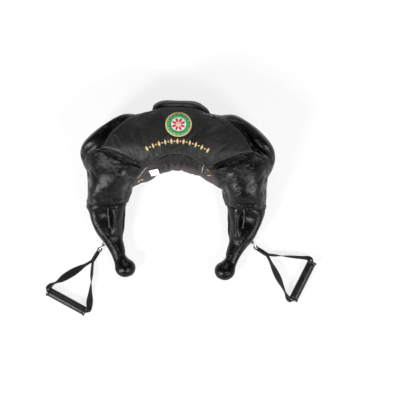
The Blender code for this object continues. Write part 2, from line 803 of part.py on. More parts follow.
def smooth_loop(points, share):
    """A point on the closed smooth curve through the points."""
    count = len(points)
    place = (share % 1) * count
    step = int(place) % count
    t = place - int(place)
    a, b, c, d = (points[(step + n) % count] for n in (-1, 0, 1, 2))
    return 0.5 * (2 * b + (c - a) * t + (2 * a - 5 * b + 4 * c - d) * t * t
                  + (3 * b - a - 3 * c + d) * t ** 3)


def folded_webbing():
    """Width and thickness of the strap's webbing where it is folded in half."""
    return WEB_WIDTH / 2, 2 * WEB_THICKNESS


def strap_stops(side, wire, handle_centre):
    """The strap's stops on a closed path: place, width, thickness and how far the
    webbing is turned flat, in degrees. Folded webbing is half as wide and twice as
    thick."""
    sign = side["sign"]
    neck = heading_vector(sign, side["neck"])
    neck_left = lateral_vector(neck)
    away = heading_vector(sign, side["handle"])
    across = lateral_vector(away)
    fold_width, fold = folded_webbing()
    eye = (WIRE_DIAMETER + fold) / 2 + EYE_SLACK
    eye_back = ring_sag(fold_width) * 1.25
    ply = (fold + PLY_GAP) / 2
    end = HANDLE_LENGTH / 2
    stops = [(wire - neck * (eye_back + eye), fold_width, fold, 0)]
    half = []
    for turn, flat_share in zip((-1, 1), side["flat_shares"]):
        apex = wire + neck * NECK_LENGTH + neck_left * (turn * ply)
        bend = handle_centre + across * (turn * (end + CORNER_CLEARANCE)) - away * CORNER_RADIUS
        slant = math.sqrt(0.5)
        steps = [(-eye_back - eye * slant, eye * slant), (-eye_back, eye), (eye * 0.1, eye * 0.96),
                 (eye * 1.05, (eye + ply) * 0.46)]
        steps += [(NECK_LENGTH * along, ply * off) for along, off in NECK_SHARES]
        rows = [(wire + neck * x + neck_left * (turn * y), fold_width, fold, 0) for x, y in steps]
        arc = []
        for share, _ in CORNER_SHARES:
            angle = share * math.pi / 2
            centre = bend + across * (turn * CORNER_RADIUS * math.cos(angle))
            arc.append(centre + away * (CORNER_RADIUS * math.sin(angle)))
        turns = FULL_TURN * flat_share
        for share, wide, thick, flat in LEG_SHARES:
            rows.append((apex.lerp(arc[0], share), WEB_WIDTH * wide, WEB_THICKNESS * thick, turns * flat))
        for place, (_, wide) in zip(arc, CORNER_SHARES):
            rows.append((place, fold_width * wide, fold, 0))
        for reach in (end - CAP_LENGTH * 2, end / 2):
            rows.append((handle_centre + across * (turn * reach), fold_width, fold, 0))
        half.append(rows)
    stops += half[0]
    stops.append((handle_centre, fold_width, fold, 0))
    stops += list(reversed(half[1]))
    return stops


def make_strap(name, side, wire, ring_centre, handle_centre):
    """The webbing loop: an eye on the ring, a doubled neck, two legs and a run
    through the handle."""
    stops = strap_stops(side, wire, handle_centre)
    levels = []
    for place, width, thickness, flat in stops:
        angle = math.radians(flat)
        own = STRAP_LIFT + width / 2 * math.cos(angle) + thickness / 2 * math.sin(angle)
        near = (place - wire).length
        far = (place - handle_centre).length
        ring_share = max(0.0, min(1.0, 1.35 * (1 - near / NECK_LENGTH)))
        handle_share = max(0.0, min(1.0, 2.2 - far / (HANDLE_LENGTH / 2 + CORNER_RADIUS) * 1.2))
        level = own * (1 - ring_share) + ring_height() * ring_share
        levels.append(level * (1 - handle_share) + CAP_DIAMETER / 2 * handle_share)
    rows = [np.array([p.x, p.y, z, w, t, f]) for (p, w, t, f), z in zip(stops, levels)]
    samples = 2 * len(rows)
    values = [smooth_loop(rows, n / samples) for n in range(samples)]
    stations = []
    for n in range(samples):
        x, y, z, width, thickness, flat = values[n]
        before, after = values[n - 1], values[(n + 1) % samples]
        along = Vector((after[0] - before[0], after[1] - before[1], 0)).normalized()
        out = Vector((along.y, -along.x, 0))
        angle = math.radians(flat)
        across = Vector((0, 0, 1)) * math.cos(angle) + out * math.sin(angle)
        face = out * math.cos(angle) - Vector((0, 0, 1)) * math.sin(angle)
        stations.append(band_corners(Vector((x, y, z)), face, thickness, across, width))
    return ribbon(name, stations, "webbing", tuple(ring_centre), closed=True)


def make_handle(side_name, side, centre):
    """A stiff tube with a soft sleeve, and at each end a round cap whose hole just
    clears the webbing."""
    sign = side["sign"]
    away = heading_vector(sign, side["handle"])
    across = lateral_vector(away)
    heading = math.degrees(math.atan2(across.y, across.x))
    inner = HANDLE_LENGTH / 2 - CAP_LENGTH
    tube_end = inner - CLEARANCE
    tube_radius, bore = TUBE_DIAMETER / 2, BORE_DIAMETER / 2
    hole = (math.hypot(*folded_webbing()) / 2 + CLEARANCE) / math.cos(math.pi / TURNED_SIDES)
    turned(f"handle_tube_{side_name}",
           [(-tube_end, bore), (-tube_end, tube_radius), (tube_end, tube_radius), (tube_end, bore)],
           "plastic", tuple(centre), heading)
    low, high = tube_radius + CLEARANCE, SLEEVE_DIAMETER / 2
    soft = (high - low) / 2
    sleeve_end = tube_end
    turned(f"handle_sleeve_{side_name}",
           [(-sleeve_end, low), (-sleeve_end, high - soft), (-sleeve_end + soft, high),
            (0, high), (sleeve_end - soft, high), (sleeve_end, high - soft), (sleeve_end, low)],
           "foam", tuple(centre), heading)
    cap, edge = CAP_DIAMETER / 2, CAP_ROUNDING
    for end_name, end in (("a", -1), ("b", 1)):
        near, far = inner, HANDLE_LENGTH / 2
        profile = [(near, hole), (near, cap - edge), (near + edge / 2, cap), (far - edge, cap),
                   (far, cap - edge), (far, hole + edge), (far - edge, hole)]
        turned(f"end_cap_{side_name}_{end_name}", [(end * x, radius) for x, radius in profile],
               "plastic", tuple(centre), heading)


def make_side(side_name, side):
    """Everything that hangs on one grip."""
    forward = heading_vector(side["sign"], side["ring"])
    root, normal = anchor_root(side)
    wire = root + forward * ANCHOR_REACH
    wire.z = ring_height()
    ring_centre = wire + forward * RING_RADIUS
    far_wire = ring_centre + forward * RING_RADIUS
    neck_end = far_wire + heading_vector(side["sign"], side["neck"]) * NECK_LENGTH
    handle_centre = neck_end + heading_vector(side["sign"], side["strap"]) * side["drop"]
    handle_centre.z = CAP_DIAMETER / 2
    make_anchor(f"anchor_loop_{side_name}", side, wire, root, normal)
    make_ring(f"ring_{side_name}", ring_centre, forward)
    make_strap(f"strap_{side_name}", side, far_wire, ring_centre, handle_centre)
    make_handle(side_name, side, handle_centre)
    for place_name, place in (("wire", wire), ("ring centre", ring_centre), ("handle", handle_centre)):
        print(side_name, place_name, [round(value, 6) for value in place])


def main():
    remove_scene_objects()
    make_panels()
    make_filling()
    collar_height = make_collar()
    make_piping()
    make_back_flap()
    make_emblem(collar_height)
    make_label()
    for side_name, side in SIDES.items():
        make_side(side_name, side)


main()
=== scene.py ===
"""A crescent-shaped leather training bag lying on a white floor, seen from above.

X runs from the left grip to the right grip, +Y points away from the grips, and Z is
up. Lengths are in metres and angles in degrees, unless a name says otherwise.
"""

import json
import math

import bpy
import numpy as np
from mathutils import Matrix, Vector, noise
from mathutils.bvhtree import BVHTree


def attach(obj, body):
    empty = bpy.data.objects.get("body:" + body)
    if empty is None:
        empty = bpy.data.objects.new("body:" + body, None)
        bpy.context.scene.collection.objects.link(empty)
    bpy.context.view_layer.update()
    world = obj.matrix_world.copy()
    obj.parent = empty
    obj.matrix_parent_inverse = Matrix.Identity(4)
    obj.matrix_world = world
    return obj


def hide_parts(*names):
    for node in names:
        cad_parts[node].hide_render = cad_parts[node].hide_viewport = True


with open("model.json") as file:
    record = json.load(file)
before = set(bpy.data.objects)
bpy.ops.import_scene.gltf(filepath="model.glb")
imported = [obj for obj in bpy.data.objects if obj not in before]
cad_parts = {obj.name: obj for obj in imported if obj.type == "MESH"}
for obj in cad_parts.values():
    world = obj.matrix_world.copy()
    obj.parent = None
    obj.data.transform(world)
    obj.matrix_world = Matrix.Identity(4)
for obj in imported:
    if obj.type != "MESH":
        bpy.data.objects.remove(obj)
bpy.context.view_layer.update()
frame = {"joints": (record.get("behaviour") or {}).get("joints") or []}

# Overall sizes of the filled bag
HALF_WIDTH = 0.278
REACH = 0.422
MIDDLE_HEIGHT = 0.187
BULB_DIAMETER = 0.058
BULB_FLAT = 0.0005
NECK_DIAMETER = 0.039
BULB_CENTRE_X = 0.146
GRIP_LEAN = 30.5
TIP_HOLE_DIAMETER = 0.0006

# Leather, collar and trim
LEATHER = 0.0022
COLLAR_THICKNESS = 0.0072
BINDING_DIAMETER = 0.0036
PIPING_DIAMETER = 0.0030
STRIP_THICKNESS = 0.0030
STRIP_WIDTH = 0.0150
FLAP_THICKNESS = 0.0100

# Ring, webbing and handle
WIRE_DIAMETER = 0.004
RING_RADIUS = 0.011
ANCHOR_WEB_WIDTH = 0.010
ANCHOR_WEB_THICKNESS = 0.0015
EYE_SLACK = 0.0012
WEB_WIDTH = 0.025
WEB_THICKNESS = 0.0017
NECK_LENGTH = 0.042
STRAP_LIFT = 0.0008
PLY_GAP = 0.0010
CORNER_RADIUS = 0.0044
CORNER_DEPTH = 0.0090
CORNER_CLEARANCE = 0.0014
NECK_TILT = 28.0
HANDLE_LENGTH = 0.130
SLEEVE_DIAMETER = 0.0265
TUBE_DIAMETER = 0.0236
CAP_DIAMETER = 0.030
CAP_LENGTH = 0.0065
HOLE_RADIUS = 0.0068

# Each rib is a cross-section of the bag between an inner and an outer end. Shares:
# inner x, inner y, outer x, outer y (x of HALF_WIDTH, y of REACH), underside and top
# (of MIDDLE_HEIGHT); then the angles of the inner top seam and the outer top seam,
# and the exponent that makes the section round (2) or boxy (more than 2).
RIB_SHARES = [
    (0.000, -0.230, 0.000, 0.209, 0.00, 1.000, 61, 146, 2.6),
    (0.050, -0.233, 0.173, 0.204, 0.00, 0.995, 61, 145, 2.6),
    (0.101, -0.241, 0.302, 0.156, 0.00, 0.984, 60, 152, 2.6),
    (0.147, -0.250, 0.432, 0.135, 0.00, 0.963, 57, 143, 2.6),
    (0.191, -0.261, 0.576, 0.133, 0.00, 0.936, 52, 129, 2.6),
    (0.227, -0.269, 0.766, 0.066, 0.00, 0.898, 49, 120, 2.6),
    (0.255, -0.277, 0.957, -0.047, 0.00, 0.856, 47, 112, 2.6),
    (0.316, -0.303, 1.000, -0.154, 0.00, 0.791, 42, 142, 2.6),
    (0.390, -0.327, 0.966, -0.261, 0.00, 0.727, 33, 172, 2.6),
    (0.460, -0.368, 0.953, -0.333, 0.00, 0.663, 10, 180, 2.6),
    (0.498, -0.424, 0.948, -0.420, 0.00, 0.588, 6, 180, 2.6),
    (0.522, -0.473, 0.949, -0.489, 0.00, 0.513, 5, 180, 2.5),
    (0.550, -0.522, 0.924, -0.550, 0.00, 0.449, 5, 180, 2.3),
    (0.565, -0.585, 0.874, -0.624, 0.00, 0.390, 5, 180, 2.2),
    (0.566, -0.663, 0.822, -0.701, 0.00, 0.342, 5, 180, 2.1),
    (0.566, -0.730, 0.749, -0.776, 0.01, 0.280, 5, 180, 2.0),
]
NECK_RIB = len(RIB_SHARES)
TIP_RIB = NECK_RIB + 1
INNER_LOW_SEAM = -45.0
OUTER_LOW_SEAM = 225.0
FLAT_SHARE = 1.15
FLAT_FADE = 3
NECK_LENGTH_SHARE = 0.62
FILLET_SHARE = 0.3
BULB_START = 60.0
COLLAR_END = 6
GUSSET_END = 9
BACK_MIDDLE_END = 2
CROSS_SEAM = 11
FLAP_END = 1.7
COLLAR_SLANT = 0.17

# The gusset's pleats: the x of one, their pitch, and their place round the bag
PLEAT_START = -0.0045
PLEAT_PITCH = 0.017
PLEAT_PLACE = 0.695
PLEAT_CLIMB = 0.12

# Where the darts start and end along the grips, and how much nearer the seam the right
# one lies than the middle of the two
DART_SPAN = (11.42, 13.38)
DART_SHIFT = 0.12

# How closely the skin is sampled, in metres along and round the bag, and how far the
# arm's leather rolls over the cross seam, along the ribs
GRID = 0.0037
LIP = 0.13

# Headings in degrees outward from -Y, and how far each leg of the strap turns flat, in
# degrees, at the places below along it
SIDES = {
    "left": {"sign": -1, "ring": 36.0, "neck": 31.0, "handle": 27.0,
             "twists": ((26, 52, 68, 50, 12, 40), (30, 24, -3, -22, -50, -44))},
    "right": {"sign": 1, "ring": 37.0, "neck": 59.0, "handle": 65.0,
              "twists": ((22, 36, 42, 22, 10, 36), (24, 4, -10, -16, -20, -32))},
}
# The strap's neck: shares of its length and of its half gap. Its legs: shares of their
# length, of the webbing's width and of its thickness. Its corners: shares of the quarter
# turn, of the folded width and of the leg's last turn.
NECK_SHARES = [(0.2, 1.0), (0.42, 1.0), (0.62, 1.0), (0.82, 1.0), (1.0, 1.2)]
LEG_SHARES = [(0.14, 0.75, 1.5), (0.30, 0.95, 1.3), (0.48, 1.0, 1.2), (0.66, 1.0, 1.3),
              (0.82, 0.92, 1.4), (0.94, 0.85, 1.5)]
CORNER_SHARES = [(0, 1.30, 0.95), (1 / 3, 1.18, 0.75), (2 / 3, 1.06, 0.30), (1, 1.0, 0)]


# The bag's plain surface, worked on whole arrays of places


def gauss(x, middle, width):
    """A bell: one at the middle, and about a third at width from it."""
    return np.exp(-((x - middle) / width) ** 2)


def hump(x, low, high):
    """A smooth hump: one in the middle of low to high, and zero at both ends."""
    return np.sin(np.pi * np.clip((x - low) / (high - low), 0, 1)) ** 2


def rise(x, low, high):
    """Zero before low, one after high, and smooth between."""
    t = np.clip((x - low) / (high - low), 0, 1)
    return t * t * (3 - 2 * t)


def plateau(x, start, full, end, gone):
    """Zero before start, one from full to end, zero after gone, and smooth between."""
    return rise(x, start, full) * (1 - rise(x, end, gone))


def pleat_place(x):
    """Where round the bag the pleat at x is sewn. The row climbs to the right."""
    return PLEAT_PLACE + PLEAT_CLIMB * np.clip((x - 0.008) / 0.04, 0, 1.2)


def dart_line(half):
    """Where round the bag the grip's stitched dart runs, at places along it."""
    return 1.4455 + 0.0075 * (half - CROSS_SEAM)


def unit(a):
    """Directions made one long."""
    return a / np.maximum(np.linalg.norm(a, axis=-1, keepdims=True), 1e-12)


def grid_of(ks, vs):
    """Two grids of places, with the first ones down the rows."""
    return np.meshgrid(ks, vs, indexing="ij")


LEAN = math.radians(GRIP_LEAN)
GRIP_ALONG = np.array([-math.sin(LEAN), -math.cos(LEAN), 0])
GRIP_SIDE = np.array([math.cos(LEAN), -math.sin(LEAN), 0])
BULB_CENTRE = np.array([BULB_CENTRE_X, BULB_DIAMETER / 2 - REACH, BULB_DIAMETER / 2 - BULB_FLAT])


def rib_values():
    """All ribs of the right half in metres, with the mirrored second rib in front."""
    rows = []
    for ix, iy, ox, oy, low, top, inner_seam, outer_seam, boxy in RIB_SHARES:
        rows.append([ix * HALF_WIDTH, iy * REACH, ox * HALF_WIDTH, oy * REACH,
                     low * MIDDLE_HEIGHT, top * MIDDLE_HEIGHT, inner_seam, outer_seam, boxy])
    middle = BULB_CENTRE - GRIP_ALONG * (BULB_DIAMETER * NECK_LENGTH_SHARE)
    inner = middle - GRIP_SIDE * (NECK_DIAMETER / 2)
    outer = middle + GRIP_SIDE * (NECK_DIAMETER / 2)
    low = BULB_CENTRE[2] - NECK_DIAMETER / 2
    rows.append([inner[0], inner[1], outer[0], outer[1], low, low + NECK_DIAMETER, 5, 180, 2.0])
    mirrored = [-rows[1][0], rows[1][1], -rows[1][2], *rows[1][3:]]
    last = [2 * a - b for a, b in zip(rows[-1], rows[-2])]
    return np.array([mirrored, *rows, last])


RIBS = rib_values()


def curve(a, b, c, d, t):
    """The smooth curve from b, where t is 0, to c, where t is 1, past a and d."""
    return 0.5 * (2 * b + (c - a) * t + (2 * a - 5 * b + 4 * c - d) * t * t
                  + (3 * b - a - 3 * c + d) * t ** 3)


def smooth_rows(table, place):
    """Values between the rows of a table by a smooth curve. Row 1 is place zero."""
    step = np.minimum(place.astype(int), len(table) - 4)
    return curve(*(table[step + n] for n in range(4)), (place - step)[..., None])


def bulb_profile(share):
    """Place along the grip's axis from the bulb's centre, radius, and the outward
    direction in those terms, from the neck, 0, to the tip, 1."""
    bulb, neck = BULB_DIAMETER / 2, NECK_DIAMETER / 2
    slope = math.radians(BULB_START)
    t = np.clip(share / FILLET_SHARE, 0, 1)
    end = (-bulb * math.cos(slope), bulb * math.sin(slope))
    start = (-BULB_DIAMETER * NECK_LENGTH_SHARE, neck)
    bend = (end[0] - (end[1] - neck) * math.tan(slope), neck)
    place, radius = ((1 - t) ** 2 * a + 2 * t * (1 - t) * b + t * t * c
                     for a, b, c in zip(start, bend, end))
    run, climb = ((1 - t) * (b - a) + t * (c - b) for a, b, c in zip(start, bend, end))
    length = np.hypot(run, climb)
    tip = math.pi - math.asin(TIP_HOLE_DIAMETER / BULB_DIAMETER)
    angle = slope + (tip - slope) * np.clip((share - FILLET_SHARE) / (1 - FILLET_SHARE), 0, 1)
    round_part = share > FILLET_SHARE
    return (np.where(round_part, -bulb * np.cos(angle), place),
            np.where(round_part, bulb * np.sin(angle), radius),
            np.where(round_part, -np.cos(angle), -climb / length),
            np.where(round_part, np.sin(angle), run / length))


def skin(k, v, inset=0.0):
    """The bag's plain surface at places k along it and v round it, moved in by inset.
    Negative k is the left half."""
    k, v, inset = np.broadcast_arrays(*(np.asarray(a, float) for a in (k, v, inset)))
    half = np.abs(k)
    row = smooth_rows(RIBS, np.minimum(half, NECK_RIB - 1e-9))
    span = row[..., 2:4] - row[..., 0:2]
    width = np.linalg.norm(span, axis=-1)
    side = np.concatenate([span / width[..., None], np.zeros(k.shape + (1,))], axis=-1)
    middle = (row[..., 4] + row[..., 5]) / 2
    centre = np.concatenate([(row[..., 0:2] + row[..., 2:4]) / 2, middle[..., None]], axis=-1)
    flat = 1 + (FLAT_SHARE - 1) * np.clip((NECK_RIB - half) / FLAT_FADE, 0, 1)
    wide = width / 2 - inset
    up = row[..., 5] - middle - inset
    down = (middle - row[..., 4]) * flat - inset
    bulb = half > NECK_RIB
    place, radius, along_out, side_out = bulb_profile(np.clip(half - NECK_RIB, 0, 1))
    bulb_middle = BULB_CENTRE + GRIP_ALONG * (place - inset * along_out)[..., None]
    centre = np.where(bulb[..., None], bulb_middle, centre)
    side = np.where(bulb[..., None], GRIP_SIDE, side)
    ball = radius - inset * side_out
    wide, up, down = (np.where(bulb, ball, x) for x in (wide, up, down))
    seams = [np.full(k.shape, INNER_LOW_SEAM), row[..., 6], row[..., 7],
             np.full(k.shape, OUTER_LOW_SEAM), np.full(k.shape, INNER_LOW_SEAM + 360)]
    around = v % 4
    band = around.astype(int)
    starts = np.choose(band, seams[:4])
    ends = np.choose(band, seams[1:])
    angle = np.radians(starts + (ends - starts) * (around - band))
    cos, sin = np.cos(angle), np.sin(angle)
    power = 2 / row[..., 8]
    x = -np.sign(cos) * np.abs(cos) ** power * wide
    z = np.sign(sin) * np.abs(sin) ** power * np.where(sin > 0, up, down)
    inward = dent(half, around, sin)
    point = centre + side * (x + cos * inward)[..., None]
    point[..., 2] += z - sin * inward
    point[..., 2] = np.maximum(point[..., 2], inset)
    point[..., 0] *= np.where(k < 0, -1, 1)
    return point


def dent(half, around, sin):
    """How far the leather is drawn in: the lobe's crease less the swell of its roll,
    the cross seam, which is deepest on top, and the valley on the grip."""
    crease = 0.012 * hump(half, 3.0, 8.0) * hump(around, 2.0, 2.27)
    crease -= 0.004 * hump(half, 2.6, 8.6) * hump(around, 2.135, 2.55)
    seam = 0.008 * gauss(half, CROSS_SEAM, 0.22) * (1 + sin) / 2
    valley = 0.009 * gauss(half, 12.4, 0.75) * hump(around, 1.1, 1.9)
    return crease + seam + valley


def skin_frame(k, v, inset=0.0):
    """Points, outward directions and lengths of one step along and round the skin."""
    small = 0.01
    along = (skin(k + small, v, inset) - skin(k - small, v, inset)) / (2 * small)
    around = (skin(k, v + small, inset) - skin(k, v - small, inset)) / (2 * small)
    return skin(k, v, inset), unit(np.cross(along, around)), \
        np.linalg.norm(along, axis=-1), np.linalg.norm(around, axis=-1)


def lumps(points, scale, seed, stretch=(1, 1, 1)):
    """Smooth noise between -1 and 1 at points, so many lumps a metre."""
    shifted = points * np.array(stretch) * scale + seed * np.array([7.3, 3.1, 5.7])
    found = [noise.noise(Vector(p)) for p in shifted.reshape(-1, 3)]
    return np.array(found).reshape(points.shape[:-1])


def folds(points, scale, seed, stretch=(1, 1, 1)):
    """Narrow creases, 1 at the bottom of each, with smooth leather between."""
    return np.clip(1 - np.abs(lumps(points, scale, seed, stretch)) * 5, 0, 1) ** 2


# What tells the filled, sewn bag from the plain surface


def seam_distance(k, v, along, around):
    """Metres from each place to the nearest seam between two panels."""
    half = np.abs(k)
    around_place = v % 4

    def beside(line, low, high):
        """A seam that runs along the bag at one place round it."""
        gap = np.abs((around_place - line + 2) % 4 - 2) * around
        past = np.maximum(np.maximum(low - half, half - high), 0) * along
        return np.hypot(gap, past)

    def across(line, low, high):
        """A seam that runs round the bag at one place along it."""
        gap = np.abs(half - line) * along
        past = np.maximum(np.maximum(low - around_place, around_place - high), 0) * around
        return np.hypot(gap, past)

    return np.minimum.reduce([
        beside(1, 0, GUSSET_END), beside(2, 0, TIP_RIB), beside(3, 0, GUSSET_END), beside(0, 0, TIP_RIB),
        across(COLLAR_END, 1, 2), across(COLLAR_END, 3, 4), across(GUSSET_END, 0, 1),
        across(GUSSET_END, 2, 3), across(CROSS_SEAM, 1.1, 1.9), across(BACK_MIDDLE_END, 2, 3)])


# Swells of the filled leather, or hollows where less than zero: metres on the left half
# and on the right, a bell or a hump along the bag with its two places, and the middle
# and width of the bell round it
SWELLS = [
    (-0.0050, -0.0050, gauss, 8.0, 0.45, 2.12, 0.12),
    (-0.0065, 0.0030, hump, 1.9, 7.2, 2.42, 0.28),
    (0.0065, 0.0, hump, 3.0, 9.8, 0.42, 0.22),
    (0.0040, 0.0040, gauss, CROSS_SEAM, 0.22, 1.5, 0.6),
    (-0.0080, -0.0080, gauss, 10.35, 0.40, 1.47, 0.12),
    (0.0045, 0.0010, hump, 11.2, 15.6, 1.95, 0.16),
    (0.0065, 0.0012, gauss, 11.32, 0.42, 2.0, 0.28),
    (0.0052, 0.0052, gauss, 16.25, 0.42, 2.0, 0.35),
    (-0.0036, -0.0036, gauss, 16.15, 0.22, 0.9, 0.30),
]
# Wrinkles that fan out from the cross seam's ends: place round the bag, count, height
SEAM_FANS = [(1.03, 20, 0.0011), (1.97, 12, 0.0009)]


def lobe_relief(half, place, sign):
    """The lobes' deep, narrow crease and the rounder roll outside it, and the fullness
    of the gusset between them."""
    line = 2.095 + 0.02 * np.sin(half * 2.1 + sign)
    out = 0.004 * gauss(place, line + 0.15, 0.085) - 0.015 * gauss(place, line, 0.045)
    return out * hump(half, 3.1, 8.0) + 0.0030 * (1 - rise(half, 2.5, 5.5)) * gauss(place, 0.42, 0.22)


def arm_relief(k, place, points, along, around, free):
    """The arms: round and full above, pulled down in front of each dart, rolled over the
    cross seam, with a ridge to the seam's outer end and wrinkles on their side of it."""
    half = np.abs(k)
    before_seam = half <= CROSS_SEAM + LIP
    crest = np.where(k < 0, 1.30 + 0.34 * rise(half, 7.0, 10.6), 1.44 + 0.06 * rise(half, 7.0, 10.0))
    out = 0.0125 * gauss(place, crest, 0.22)
    out -= 0.0065 * (gauss(place, 1.14, 0.11) + gauss(place, 1.83, 0.14))
    out *= hump(half, 5.8, 12.2) ** 0.6
    out += 0.0018 * gauss(half, CROSS_SEAM, 0.30) * (1 - gauss(place, 1.5, 0.42)) * free
    ridge_line = 1.56 + 0.36 * rise(half, 8.2, 11.0)
    rolled = 0.0030 * gauss(half, 10.84, 0.17) * gauss(place, 1.5, 0.36)
    rolled += 0.0020 * hump(half, 8.4, 11.4) * gauss((place - ridge_line) * around, 0, 0.008)
    high = rise(points[..., 2], 0.03, 0.07)
    uneven = 2.5 * lumps(points, 25, 3)
    for line, count, strength in SEAM_FANS:
        back, side = (CROSS_SEAM - half) * along, (place - line) * around
        spokes = np.sin(np.arctan2(back, np.abs(side)) * count + uneven)
        rolled += strength * spokes * hump(np.hypot(back, side), 0.004, 0.060) * high * (back > -0.004)
    gathers = np.sin(place * around / 0.0020 + 2.0 * lumps(points, 22, 13)) * high
    rolled += 0.0006 * gathers * np.exp(-np.abs(half - 10.95) * along / 0.009)
    return out + rolled * before_seam


def grip_relief(k, place, points, around):
    """The grips: a valley round a stitched dart, a gathered roll on either side, and
    ripples across the rolls and the neck, as of leather drawn up on its thread."""
    half = np.abs(k)
    own = half + DART_SHIFT * np.sign(k)
    middle = (place - dart_line(half)) * around
    narrow = 1 - 0.45 * rise(half, 12.4, 14.8)
    outer_roll, inner_roll = 0.040 * narrow, -0.020 * narrow
    neck_line = 0.017 - 0.022 * rise(half, 13.8, 16.2)
    inside = (0.15 + 0.85 * rise(own, 11.1, 12.4)) * (1 - rise(own, 12.9, 14.6))
    out = -0.0090 * inside * gauss(middle, -0.001, 0.0120)
    out += 0.0065 * plateau(own, 11.22, 11.40, 13.32, 13.52) * gauss(middle, 0, 0.0026)
    shoulders = 0.0066 * gauss(middle, outer_roll, 0.0150) + 0.0064 * gauss(middle, inner_roll, 0.0100)
    out += plateau(half, 11.1, 12.9, 13.5, 15.0) * shoulders
    out += 0.0034 * hump(half, 13.6, 16.4) * gauss(middle, neck_line, 0.011)
    rolls = gauss(middle, inner_roll, 0.010) + 0.6 * gauss(middle, outer_roll, 0.012)
    drawn = plateau(half, 11.4, 11.9, 13.6, 14.4) * rolls
    drawn = drawn + plateau(half, 14.0, 14.5, 15.6, 16.2) * gauss(middle, neck_line, 0.010)
    ripple = np.sin(points[..., 1] / 0.00090 + 1.6 * lumps(points, 55, 5) + 90.0 * np.abs(middle))
    return (out + 0.00042 * ripple * drawn) * (half > CROSS_SEAM)


def gusset_relief(half, place, x):
    """The gusset's pleats, drawn in where each is sewn, with soft scallops below."""
    pleat = (x - PLEAT_START) / PLEAT_PITCH
    from_stitch = (pleat - np.round(pleat)) * PLEAT_PITCH
    out = -0.0060 * gauss(from_stitch, 0, 0.0040) * gauss(place, pleat_place(x), 0.07)
    out -= 0.0012 * gauss(from_stitch, 0, 0.0016) * gauss(place, 0.80, 0.25)
    out -= 0.0008 * gauss(from_stitch, 0, 0.0035) * gauss(place, 0.42, 0.14)
    return out * (1 - rise(half, 4.4, 6.2)) * (place <= 1)


def relief(k, v, points, along, around):
    """How far the leather stands out from the plain surface, in metres."""
    half, place = np.abs(k), v % 4
    free = rise(points[..., 2], 0.004, 0.03)
    # The groove at each seam and the puff between them
    distance = seam_distance(k, v, along, around)
    out = -0.0024 * gauss(distance, 0, 0.0035) - 0.0016 * gauss(distance, 0, 0.012) * free
    for left, right, shape, first, second, middle, width in SWELLS:
        out = out + np.where(k < 0, left, right) * shape(half, first, second) * gauss(place, middle, width)
    out = out + lobe_relief(half, place, np.sign(k)) + gusset_relief(half, place, points[..., 0])
    out = out + arm_relief(k, place, points, along, around, free) + grip_relief(k, place, points, around)
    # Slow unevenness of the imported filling, and the odd soft crease
    packed = 0.0014 * lumps(points, 14, 1) + 0.0004 * lumps(points, 45, 2)
    packed -= 0.0006 * folds(points, 18, 6, (1, 1, 1.6)) + 0.00022 * folds(points, 55, 8)
    out = out + packed * free * (1 - 0.5 * rise(half, 6.0, 7.0))
    return out * np.where(points[..., 2] < 0.001, 0.1, 1.0)


# Cloth: the filled leather and the padded collar settle before their seams are cut


CLOTH = {"quality": 6, "mass": 0.4, "tension_stiffness": 25, "compression_stiffness": 25,
         "shear_stiffness": 8, "bending_stiffness": 1.2, "vertex_group_mass": "held", "use_pressure": True}
CLOTH_FRAMES = 20


def placed(name, data):
    """A new object in the scene."""
    item = bpy.data.objects.new(name, data)
    bpy.context.scene.collection.objects.link(item)
    return item


def settle(points, faces, held, pressure, growth, cap):
    """How far each point moves when the sheet, grown a little between its held
    points, is blown out as cloth. No point moves further than cap."""
    mesh = bpy.data.meshes.new("cloth_trial")
    mesh.from_pydata([tuple(p) for p in points], [], faces)
    trial = placed("cloth_trial", mesh)
    group = trial.vertex_groups.new(name="held")
    group.add([int(n) for n in np.nonzero(held)[0]], 1.0, "REPLACE")
    cloth = trial.modifiers.new("cloth", "CLOTH")
    for name, value in CLOTH.items():
        setattr(cloth.settings, name, value)
    cloth.settings.uniform_pressure_force = pressure
    cloth.settings.shrink_min = -growth
    cloth.settings.effector_weights.gravity = 0
    cloth.collision_settings.use_collision = False
    cloth.point_cache.frame_start = 1
    cloth.point_cache.frame_end = CLOTH_FRAMES
    scene = bpy.context.scene
    for number in range(1, CLOTH_FRAMES + 1):
        scene.frame_set(number)
    evaluated = trial.evaluated_get(bpy.context.evaluated_depsgraph_get())
    moved = np.empty(len(points) * 3)
    evaluated.data.vertices.foreach_get("co", moved)
    scene.frame_set(1)
    bpy.data.objects.remove(trial, do_unlink=True)
    bpy.data.meshes.remove(mesh)
    step = moved.reshape(-1, 3) - points
    length = np.linalg.norm(step, axis=1, keepdims=True)
    return step * np.where(length > 1e-9, cap * np.tanh(length / cap) / np.maximum(length, 1e-9), 1)


def spaced(edges, lengths):
    """Places from each edge to the next, about GRID apart."""
    places = []
    for low, high, length in zip(edges[:-1], edges[1:], lengths):
        count = max(1, round(length / GRID))
        places += list(np.linspace(low, high, count, endpoint=False))
    return np.array(places + [edges[-1]])


